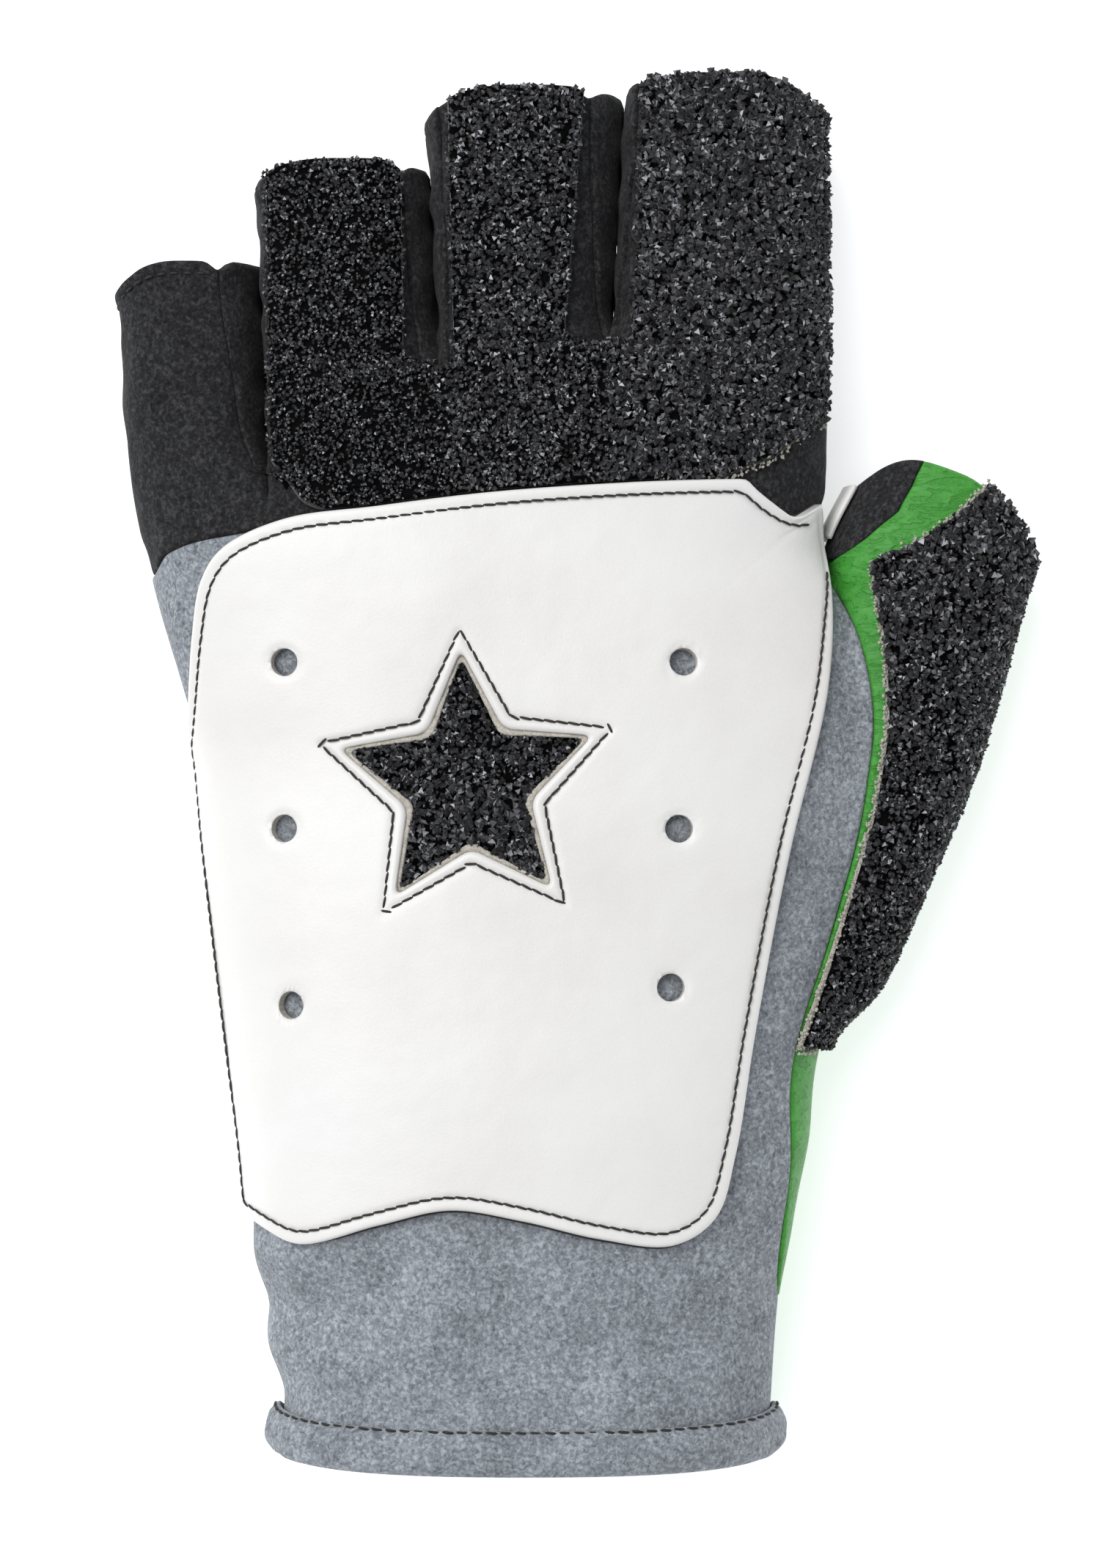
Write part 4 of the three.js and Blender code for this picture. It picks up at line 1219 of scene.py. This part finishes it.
def green_body():
    """Palm and thumb in one skin: the underside, the side of the cuff, and the thumb growing out of it."""
    low_share, mid_share = spaced(thumb_foot, 1.5, 0.7)[:, None], np.linspace(0, 1, 66)[1:, None]

    def seam_turn(y):
        h = hand(y)
        edge = np.where(y < thumb_foot, back_edge_x(y), thumb_seam_x(y))
        turn = 2 * np.pi - turn_of((edge - h.centre) / h.half, underside_square)
        return np.maximum(turn, np.where(y < thumb_foot, back_border(y), np.pi))

    def low_rows(first, last):
        return lerp(shell_start + cuff_rise(lerp(first, last, fine)), thumb_foot, low_share)

    cuff = np.full((1, 1), 5.0)
    low_palm = low_rows(seam_turn(cuff), 2 * np.pi - side_turn_hand)
    low_side = low_rows(back_border(cuff), seam_turn(cuff))

    def underside(y):
        point = hand_point(lerp(seam_turn(y), 2 * np.pi - side_turn_hand, fine), y)
        t = thumb_of(y)
        over_thumb = (np.abs((point[..., 0] - t.centre) / t.half) < 1) & (y > thumb_foot)
        point[..., 2] = np.where(over_thumb, np.minimum(point[..., 2], bottom_over(t, point[..., 0])), point[..., 2])
        return point

    high_y = lerp(thumb_foot, fork_line, mid_share) + 0 * fine
    for _ in range(5):
        high_y = lerp(thumb_foot, knuckle_y(underside(high_y)[..., 0]), mid_share)
    palm_shares = spaced(105, 1.5, 0.7)
    palm = np.concatenate([even(underside(low_palm), palm_shares), even(underside(high_y), palm_shares)])

    def side(y):
        h = hand(y)
        end = 2 * np.pi - turn_of((back_edge_x(y) - h.centre) / h.half, underside_square)
        return hand_point(lerp(back_border(y), np.maximum(end, back_border(y)), fine), y, merged=True)

    side_shares = spaced(40, 1.0, 0.7)
    flank = even(side(low_side), side_shares)
    flank[:, -1] = palm[: len(low_share), 0]

    border_y = palm[len(low_share) :, 0, 1][:, None]
    border_y = np.concatenate([[[thumb_foot]], border_y])
    last_y = border_y[-1, 0]
    body_y = border_y + 0 * fine
    for _ in range(12):
        start, end = thumb_start(body_y)
        x = thumb_point(lerp(start, end, fine), body_y)[-1:, :, 0]
        bent = np.minimum(last_y, thumb_rim_y(x) - 3)
        body_y = lerp(body_y, lerp(thumb_foot, bent, (border_y - thumb_foot) / (last_y - thumb_foot)), 0.5)
    start, end = thumb_start(body_y)
    own = even(thumb_point(lerp(start, end, fine), body_y), side_shares)
    of_hand = even(side(body_y), side_shares)
    share = smooth((border_y - thumb_foot) / 11)[..., None]
    body = of_hand + (own - of_hand) * share
    body[:, -1] = palm[len(low_share) - 1 :, 0]

    reach = np.linspace(0, 1, 22)[:, None]
    y = lerp(body_y[-1:], body_y[-1:] + 3, reach)
    for _ in range(12):
        start, end = thumb_start(y)
        x = thumb_point(lerp(start, end, fine), y)[..., 0]
        y = lerp(y, lerp(body_y[-1:], thumb_rim_y(x), reach), 0.5)
    start, end = thumb_start(y)
    tip = even(thumb_point(lerp(start, end, fine), y), side_shares)
    tip[0] = body[-1]

    def folds(p):
        near_tip = smooth((p[:, 1] - 120) / 25) * smooth((p[:, 0] - 40) / 5)
        creases = np.sin(p[:, 1] * 1.1 + 0.5 * p[:, 0] + 1.2 * waves(p, 18, 8))
        return 0.14 * waves(p, 14, 5) + near_tip * 0.12 * creases

    shape = sheet([palm, flank, body, tip], hand_wall, 0.6, relief=folds)
    piece("palm_and_thumb_leather", *shape, green_leather, "green_leather", ["palm", "thumb"])


def thumb_inside():
    """Black lap round the thumb's inner side, from its underside over the edge to its back."""
    v = np.linspace(0, 1, 30)[:, None]
    first = fork_line - lap_start
    y = lerp(first, fork_line + thumb_length, v) + 0 * fine
    for _ in range(5):
        start, end = thumb_start(y)
        x = thumb_point(lerp(end - 2 * np.pi, start, fine), y)[..., 0]
        y = lerp(first, thumb_rim_y(x), v)
    start, end = thumb_start(y)
    grid = even(thumb_point(lerp(end - 2 * np.pi, start, fine), y), spaced(35, 0.8, 0.5))
    piece("thumb_lap_suede", *sheet([grid], thumb_wall, 0.5), black_suede, "black_suede", ["thumb_lap"])


def thumb_edge_strip():
    """Narrow white strip standing along the thumb's inner edge."""
    v = np.linspace(0, 1, 30)[:, None]
    heights = np.linspace(strip_low, strip_high, 12)[None]
    y = lerp(fork_line + strip_start, thumb_rim_y(thumb_of(fork_line + 10).left) - 0.4, v) + 0 * heights
    t = thumb_of(y)
    z = t.side * heights
    rise = np.clip(np.where(z > t.side, (z - t.side) / (t.top - t.side), (t.side - z) / t.side / flat_share), 0, 1)
    square = np.where(z > t.side, t.square, underside_square)
    x = t.centre - t.half * (1 - rise**square) ** (1 / square)
    grid = np.stack([x, y, z], -1)
    shape = sheet([grid], strip_wall, 0.3, lift=gap + strip_wall)
    piece("thumb_strip_leather", *shape, white_leather, "white_leather", ["thumb_strip"])


def black_fingers():
    """Finger backs, their palm sides and the side strips, each a sheet between its seams."""
    rows = np.concatenate([spaced(30, 1.1, 0.6)[:-4], 1 + np.linspace(0, 1, 50)])
    rows = np.unique(np.concatenate([rows, [1.0, 1.995, 1.999, 1.985]]))[:, None]
    backs, palms = [], []
    for f in range(4):
        for lower, store in ((False, backs), (True, palms)):
            grid = finger_grid(f, rows, fine, knuckle_y, fork_level, finger_rim_y, lower)
            grid = even(grid, spaced(30, 0.8, 0.6))
            grid[..., 3] = rim_swell(grid[..., 3])
            store.append(grid)

    def rumple(p):
        return 0.14 * waves(p, 12, 11) + 0.06 * waves(p, 5, 12)

    shape = sheet(backs, finger_wall, 0.6, relief=rumple)
    piece("finger_backs_suede", *shape, black_suede, "black_suede", ["finger_backs"])
    shape = sheet(palms, finger_wall, 0.6)
    piece("finger_palms_suede", *shape, black_suede, "black_suede", ["finger_palms"])
    for fork in range(3):
        side_strip(fork)

    def rim_seam(f, s):
        return finger_rim_y(f, s) - 2.1

    seam = finger_grid(0, np.array([[1.9], [2.0]]), fine, knuckle_y, fork_level, rim_seam)[-1, 4:-2, :3]
    normal = np.cross(np.gradient(seam, axis=0), [0, 1, 0])
    normal /= np.linalg.norm(normal, axis=1, keepdims=True)
    piece("little_finger_stitches", *stitches(seam, normal, 2.2, 1.5, 0.5), dark_thread, "thread")


def side_strip(fork):
    """Strip between two fingers: down one finger's side, across the fork and up the other's."""
    low, high = np.linspace(0, 1, 6)[:, None], np.linspace(0, 1, 44)[1:, None]
    across = np.linspace(0, 1, 81)[None]
    shares = spaced(9, 0.7, 0.4)
    patches = []
    for f, right_side in ((fork, True), (fork + 1, False)):
        s = np.full((1, 1), 1.0 if right_side else -1.0)
        wall_y = lerp(fork_y(fork), finger_rim_y(f, s), np.concatenate([[[0.0]], high]))
        below = lerp(fork_start(fork), fork_y(fork), low) + 0 * across
        for lower in (False, True):
            above = lerp(fork_y(fork), finger_rim_y(f, s), high) + 0 * across
            for _ in range(5):
                y = np.concatenate([below, above])
                left, right = finger_turns(f, y, lower)
                if right_side:
                    g = lerp(np.pi, right, across) if lower else lerp(right, np.pi, across)
                else:
                    g = lerp(left, 2 * np.pi, across) if lower else lerp(0.0, left, across)
                point = finger_point(f, g, y)
                sides = finger_edge(f, -1, y), finger_edge(f, 1, y)
                here = 2 * (point[..., 0] - sides[0]) / (sides[1] - sides[0]) - 1
                above = lerp(fork_y(fork), finger_rim_y(f, here[len(low) :]), high)
            patches.append(even(point, shares))
        at_side = np.array(np.pi if right_side else 0.0)
        upper = finger_point(f, at_side, wall_y)
        under = finger_point(f, np.nextafter(np.pi, 4) + 0 * wall_y if right_side else 2 * np.pi + 0 * wall_y, wall_y)
        drop = np.linspace(0, 1, 10)[None, :, None]
        wall = lerp(upper, under, drop) if right_side else lerp(under, upper, drop)
        patches.append(wall)

    def creases(p):
        return 0.25 * np.sin(p[:, 1] * 0.55 + 0.8 * waves(p, 14, 20 + fork)) + 0.12 * waves(p, 5, 30 + fork)

    name = f"fourchette_{fork + 1}"
    shape = sheet(patches, 1.4, 0.4, lift=finger_gap / 2 + 0.12, relief=creases)
    piece(name + "_suede", *shape, black_suede, "black_suede", [name])


def rolled_hem():
    """Suede band folded round the cuff's edge: a closed U profile swept round the section."""
    g = np.linspace(0, 2 * np.pi, 421)[:-1]
    profile = np.array([
        (7.4, 0.2), (7.5, 0.5), (7.3, 0.9), (6.9, 1.3), (6.1, 1.9), (4.6, 2.4), (2.6, 2.4), (1.0, 1.9), (0.2, 0.9),
        (0.0, -0.6), (0.0, -2.0), (0.4, -3.2), (1.6, -3.9), (3.6, -4.1), (5.6, -4.0), (7.4, -3.6), (8.0, -2.9),
        (7.6, -2.5), (4.0, -2.4), (1.6, -2.2), (1.4, -0.8), (1.6, 0.1), (4.0, 0.2),
    ])
    profile = smooth_loop(profile, 3)
    shift = cuff_rise(g)
    y = np.broadcast_to(profile[None, :, 0], (len(g), len(profile)))
    base = hand_point(g[:, None], y)
    ahead = hand_point(g[:, None] + 0.004, y)
    tangent = ahead - base
    normal = np.stack([-tangent[..., 2], 0 * tangent[..., 0], tangent[..., 0]], -1)
    normal /= np.maximum(np.linalg.norm(normal, axis=-1, keepdims=True), 1e-9)
    points = base + normal * profile[None, :, 1:2]
    points[..., 1] += shift[:, None]
    rows, columns = points.shape[:2]
    i, j = np.meshgrid(np.arange(rows), np.arange(columns), indexing="ij")
    a, b = i * columns + j, i * columns + (j + 1) % columns
    c, d = (i + 1) % rows * columns + (j + 1) % columns, (i + 1) % rows * columns + j
    faces = np.concatenate([np.stack([a, c, b], -1).reshape(-1, 3), np.stack([a, d, c], -1).reshape(-1, 3)])
    flat = points.reshape(-1, 3)
    puckers = 0.1 * waves(flat, 4, 81) + 0.1 * waves(flat, 9, 82)
    flat = flat + normal.reshape(-1, 3) * (puckers * np.tile(profile[:, 1] > 0.5, rows))[:, None]
    piece("cuff_hem_suede", flat, faces, grey_suede, "grey_suede", ["cuff_hem"])
    seam = base[:, 0] + normal[:, 0] * 0.95
    seam[:, 1] = hem_seam + shift
    sewn = stitches(seam, normal[:, 0], 2.35, 1.9, 0.5, closed=True, slant=0.1)
    piece("cuff_hem_stitches", *sewn, dark_thread, "thread")


# White panel with its window, holes and stitching, all laid out on the flat map

star_middle = np.array([star_place[0] * hand_width, star_place[1] * hand_length])
panel_middle = np.array([q_of(*star_middle), star_middle[1]])


def panel_loop():
    """Outline of the panel on the flat map. Its left side ends a fifth above the hand's widest place."""
    places = np.stack([panel_table["across"] * hand_width, panel_table["along"] * hand_length], -1)
    x, y = smooth_loop(places, 24).T
    h = hand(y, panel_top)
    rise = (panel_seam - 1) * h.side / (h.top - h.side)
    limit = h.centre - h.half * (1 - rise**h.square) ** (1 / h.square)
    return np.stack([q_of(np.maximum(x, limit), y), y], -1)


def star_loop(outer, inner, blur):
    """Five-pointed star on the flat map, its corners rounded by averaging along the outline."""
    turn = np.radians(90 + star_turn - 36 * np.arange(11))
    radius = np.where(np.arange(11) % 2, inner, outer)
    corners = star_middle + np.stack([radius * np.cos(turn), radius * np.sin(turn)], -1)
    run = np.concatenate([[0], np.cumsum(np.linalg.norm(np.diff(corners, axis=0), axis=1))])
    at = np.linspace(0, run[-1], 1601)[:-1]
    x, y = (np.interp(at, run, corners[:, k]) for k in range(2))
    offsets = np.linspace(-blur, blur, 9) / run[-1] * 1600
    index = (np.arange(1600)[:, None] + np.round(offsets).astype(int)) % 1600
    return np.stack([q_of(x[index].mean(1), y[index].mean(1)), y[index].mean(1)], -1)


def radius_of(loop, angle):
    """Distance from the star's middle to a loop in each direction."""
    away = loop - panel_middle
    turn, far = np.arctan2(away[:, 1], away[:, 0]), np.hypot(*away.T)
    return np.interp(angle, turn, far, period=2 * np.pi) if len(turn) else angle


def seam_margin(loop):
    """Distance of the stitches from the edge. They run out to it on the right, below the upper corner."""
    near = np.exp(-(((loop[:, 1] - 0.8 * hand_length) / 8) ** 2)) * (loop[:, 0] > 0.3 * hand_width)
    return 2.2 - 1.1 * near[:, None]


def inset(loop, amount):
    """A loop moved inwards along its normals, evened out and smoothed."""
    closed = np.concatenate([loop, loop[:1]])[None]
    loop = even(closed, np.linspace(0, 1, 901))[0][:-1]
    tangent = np.roll(loop, -4, axis=0) - np.roll(loop, 4, axis=0)
    normal = np.stack([tangent[:, 1], -tangent[:, 0]], -1) / np.linalg.norm(tangent, axis=1, keepdims=True)
    moved = loop + normal * amount(loop)
    moved = sum(np.roll(moved, k, axis=0) for k in range(-5, 6)) / 11
    x, y = on_back(*moved.T)[:, 0], moved[:, 1]
    return np.stack([q_of(np.maximum(x, hand(y, panel_top).left + 1.8), y), y], -1)


def on_panel(loop, lift):
    """A loop of the flat map as points over the back, with the normals there."""
    normal = back_normal(*loop.T)
    return on_back(*loop.T) + normal * lift, normal


outer_loop = panel_loop()
window_loop = star_loop(star_radius + 0.7, star_waist, 1.7)
seam_loop = inset(outer_loop, seam_margin)
star_seam_loop = star_loop(24.9, 12.8, 0.6)
panel_angles = np.linspace(0, 2 * np.pi, 481)
window_radius = radius_of(window_loop, panel_angles)
outline_radius = radius_of(outer_loop, panel_angles)


def ring_grid(radius):
    """Grid on the back between rings of the flat map: one row for each direction."""
    q = panel_middle[0] + radius * np.cos(panel_angles)[:, None]
    y = panel_middle[1] + radius * np.sin(panel_angles)[:, None]
    return np.stack([q, y], -1), on_back(q, y)


def white_panel():
    """Thick panel between the star window and its outline, with stitch grooves and punched holes."""
    near_window = np.array([0, 0.05, 0.15, 0.35, 0.7, 1.0, 1.3, 1.6, 1.9, 2.2, 2.6, 3.2, 4.0])
    near_edge = np.array([5.5, 4.6, 4.0, 3.6, 3.3, 3.0, 2.7, 2.4, 2.0, 1.4, 0.9, 0.6, 0.35, 0.15, 0.05, 0])
    inside, outside = window_radius[:, None] + near_window, outline_radius[:, None] - near_edge
    between_rings = lerp(inside[:, -1:], outside[:, :1], np.linspace(0, 1, 44)[None, 1:-1])
    flat, grid = ring_grid(np.concatenate([inside, between_rings, outside], 1))
    places = flat.reshape(-1, 2)
    seams = np.concatenate([seam_loop[::2], star_seam_loop[::3]])
    groove = -0.22 * np.exp(-((distance_to(places, seams) / 0.55) ** 2))
    lift = groove.reshape(grid.shape[:2])
    for across, along in hole_places:
        away = np.hypot(grid[..., 0] - across * hand_width, grid[..., 1] - along * hand_length)
        lift = lift - 0.35 * np.exp(-(((away - hole_diameter / 2) / 0.6) ** 2))
    grid = np.concatenate([grid, lift[..., None]], -1)
    soft = lambda p: 0.16 * waves(p, 45, 41)
    points, faces = sheet([grid], panel_wall, 0.8, relief=soft)
    panel = piece("back_panel_leather", points, faces, white_leather, "white_leather", ["back_panel"])
    punch_holes(panel)

    # Thin dark band just under the panel's outline, standing out 0.42 mm past its edge as a dark line below it.
    band = ring_grid(outline_radius[:, None] + np.array([-2.0, -1.0, -0.2, 0.1, 0.3, 0.42]))[1]
    under = sheet([band], 0.42, 0.12, lift=0.1 - panel_wall)
    piece("back_panel_dark_edge_band", *under, dark_thread, "black_suede")


def punch_holes(panel):
    """Cuts the six round holes with one joined set of cylinders, whose own material lines them."""
    x = np.array([across * hand_width for across, _ in hole_places])
    y = np.array([along * hand_length for _, along in hole_places])
    q = q_of(x, y)
    centre, normal = on_back(q, y), back_normal(q, y)
    side = np.cross(normal, [0, 1, 0])
    side /= np.linalg.norm(side, axis=1, keepdims=True)
    front = np.cross(normal, side)
    turn = np.arange(40) * np.pi / 20
    ring = side[:, None] * np.cos(turn)[:, None] + front[:, None] * np.sin(turn)[:, None]
    ring = ring * hole_diameter / 2
    low, high = centre - normal * 1.5 * panel_top, centre + normal * panel_top
    points = np.stack([low[:, None] + ring, high[:, None] + ring], 1).reshape(-1, 3)
    faces = []
    walls = [(i, (i + 1) % 40, 40 + (i + 1) % 40, 40 + i) for i in range(40)]
    one = walls + [tuple(range(39, -1, -1)), tuple(range(40, 80))]
    for k in range(len(x)):
        faces += [tuple(80 * k + i for i in face) for face in one]
    mesh = bpy.data.meshes.new("punches")
    mesh.from_pydata(to_frame(points), [], faces)
    mesh.materials.append(cream_felt)
    punches = bpy.data.objects.new("punches", mesh)
    bpy.context.scene.collection.objects.link(punches)
    cut = panel.modifiers.new("holes", "BOOLEAN")
    cut.operation = "DIFFERENCE"
    cut.solver = "EXACT"
    cut.material_mode = "TRANSFER"
    cut.object = punches
    shaped = panel.evaluated_get(bpy.context.evaluated_depsgraph_get())
    done = bpy.data.meshes.new_from_object(shaped)
    panel.modifiers.clear()
    panel.data = done
    bpy.data.objects.remove(punches)


def panel_stitches():
    """Black stitches round the panel and round the star. Those of the panel leave out its curled corner."""
    away = np.abs(seam_loop[:, 1] - 0.815 * hand_length)
    gone = np.flatnonzero((seam_loop[:, 0] > 0.3 * hand_width) & (away < 4))
    seam = np.roll(seam_loop, -gone[-1] - 1, axis=0)[: len(seam_loop) - len(gone)]
    parts = [
        stitches(*on_panel(seam, -0.12), 1.95, 2.05, 0.42, slant=0.1),
        stitches(*on_panel(star_seam_loop, -0.12), 1.95, 2.05, 0.42, closed=True, slant=0.1),
    ]
    piece("back_panel_stitches", *joined(parts), dark_thread, "thread")


# Rubber crumb patches: a pale cloth, a rough black bed over it and grains half sunk into the bed

grain_small, grain_large = 0.6, 1.45
grain_density = 3.4


def all_round(points):
    """Every border point frays."""
    return points[:, 1] > -np.inf


def grip_patch(name, bed, cloth, seed, node, cloth_look, frays, cloth_lift=0.9, bed_lift=1.6):
    """Builds a patch from the grids of its bed and of its slightly wider cloth, which frays along its border."""
    piece(name + "_cloth", *sheet(cloth, 0.65, 0.2, lift=cloth_lift), cloth_look, "textile")
    rough = lambda p: 0.14 * waves(p, 2.2, seed) + 0.1 * waves(p, 5, seed + 1)
    points, faces = sheet(bed, bed_lift - cloth_lift, 0.35, lift=bed_lift - 0.2, relief=rough)
    piece(name + "_bed", points, faces, rubber, "rubber_crumb", [node], flat=True)
    place, normal = scatter(bed, grain_density, seed)
    grains = crumbs(place + normal * (bed_lift + 0.2), normal, grain_small, grain_large, seed)
    # Random face values: the grains' own tone, with painted glints on the palest faces.
    tone_and_glints(piece(name + "_grains", *grains, rubber, "rubber_crumb", flat=True), seed + 2)

    points, faces = weld([grid[..., :3] for grid in cloth])
    border = np.unique(border_of(points, faces))
    border = np.repeat(border[frays(points[border])], 6)
    rng = np.random.default_rng(seed + 3)
    place = points[border] + rng.uniform((-0.35, -0.8, -0.3), (0.35, 0.8, 0.3), (len(border), 3))
    normal = normals_of(points, faces)[border]
    fluff = crumbs(place + normal * cloth_lift, normal, 0.25, 0.75, seed + 4)
    piece(name + "_fluff", *fluff, cream_felt, "textile", flat=True)


def panel_top_y(x):
    """Upper edge of the panel over x."""
    plan = on_back(*outer_loop.T)
    kept = plan[(plan[:, 1] > 0.8 * hand_length)]
    kept = kept[np.argsort(kept[:, 0])]
    return np.interp(x, kept[:, 0], kept[:, 1])


def finger_grip():
    """Patch over knuckles, ring, middle and index finger, split at the furrows above the forks."""

    def start(x, wider=0.0):
        edge = np.interp(x, grip_edge["across"] * hand_width, grip_edge["along"] * hand_length)
        return np.maximum(edge - wider, panel_top_y(x) + 0.15)

    def level(f, s):
        left = 173.0 if f == 1 else fork_start(f - 1)
        return lerp(left, fork_start(f), (s + 1) / 2)

    rows = np.unique(np.concatenate([np.linspace(0, 1, 26), 1 + np.linspace(0, 1, 44)]))[:, None]
    bed, cloth = [], []
    for f in (1, 2, 3):
        for wider, store in ((0.0, bed), (0.3, cloth)):
            low = (lambda x: start(x, 2 * wider)) if wider else start
            grid = finger_grid(f, rows, fine, low, level, finger_rim_y, edge=patch_edge_x, wider=wider)
            store.append(even(grid[..., :3], np.linspace(0, 1, 32)))

    def below_knuckles(points):
        return (points[:, 1] < start(points[:, 0]) + 1.5) & (points[:, 0] > 0.12 * hand_width)

    grip_patch("finger_grip", bed, cloth, 51, "finger_grip", dark_felt, below_knuckles)


def thumb_grip():
    """Patch over the outer side of the thumb, from a point at its foot to its cut end."""
    rows = np.linspace(0, 1, 90)[:, None]

    def edge_x(y):
        return np.interp(y / hand_length, thumb_grip_edge["along"], thumb_grip_edge["across"]) * hand_width

    def inner_side(points):
        return np.abs(points[:, 0] - edge_x(points[:, 1])) < 2.5

    def grid(wider):
        y = lerp(thumb_foot, fork_line, rows) + 0 * fine
        for _ in range(60):
            t, h = thumb_of(y), hand(y)
            x = edge_x(y) - wider
            own = thumb_point(lerp(turn_of((x - t.centre) / t.half, t.square), np.pi + side_turn_finger, fine), y)
            start = turn_of((x - h.centre) / h.half, h.square)
            of_hand = hand_point(lerp(start, np.pi + side_turn_finger, fine), y)
            point = of_hand + (own - of_hand) * smooth((y - thumb_foot) / 11)[..., None]
            y = lerp(y, lerp(thumb_foot, thumb_rim_y(point[..., 0]) + 0.6, rows), 0.3)
        return even(point, np.linspace(0, 1, 40))

    grip_patch("thumb_grip", [grid(0.0)], [grid(0.5)], 61, "thumb_grip", cream_felt, inner_side)


def star_grip():
    """Patch in the star window, with a cream rim of cloth along the window's walls."""
    shares = np.linspace(0, 1, 26)
    bed = ring_grid((window_radius[:, None] - 1.1) * shares)[1]
    cloth = ring_grid((window_radius[:, None] - 0.1) * shares)[1]
    grip_patch("star_grip", [bed], [cloth], 71, "star_grip", cream_felt, all_round, 0.5 - panel_top, 1.2 - panel_top)
    rim = ring_grid(window_radius[:, None] + np.array([-1.25, -1.0, -0.7, -0.35, 0.05]))[1]
    fuzz = lambda p: 0.15 * waves(p, 3, 75)
    piece("star_grip_rim", *sheet([rim], 1.4, 0.3, lift=-0.85, relief=fuzz), cream_felt, "textile")


grey_back()
green_body()
thumb_inside()
thumb_edge_strip()
black_fingers()
rolled_hem()
white_panel()
panel_stitches()
finger_grip()
thumb_grip()
star_grip()
stand()
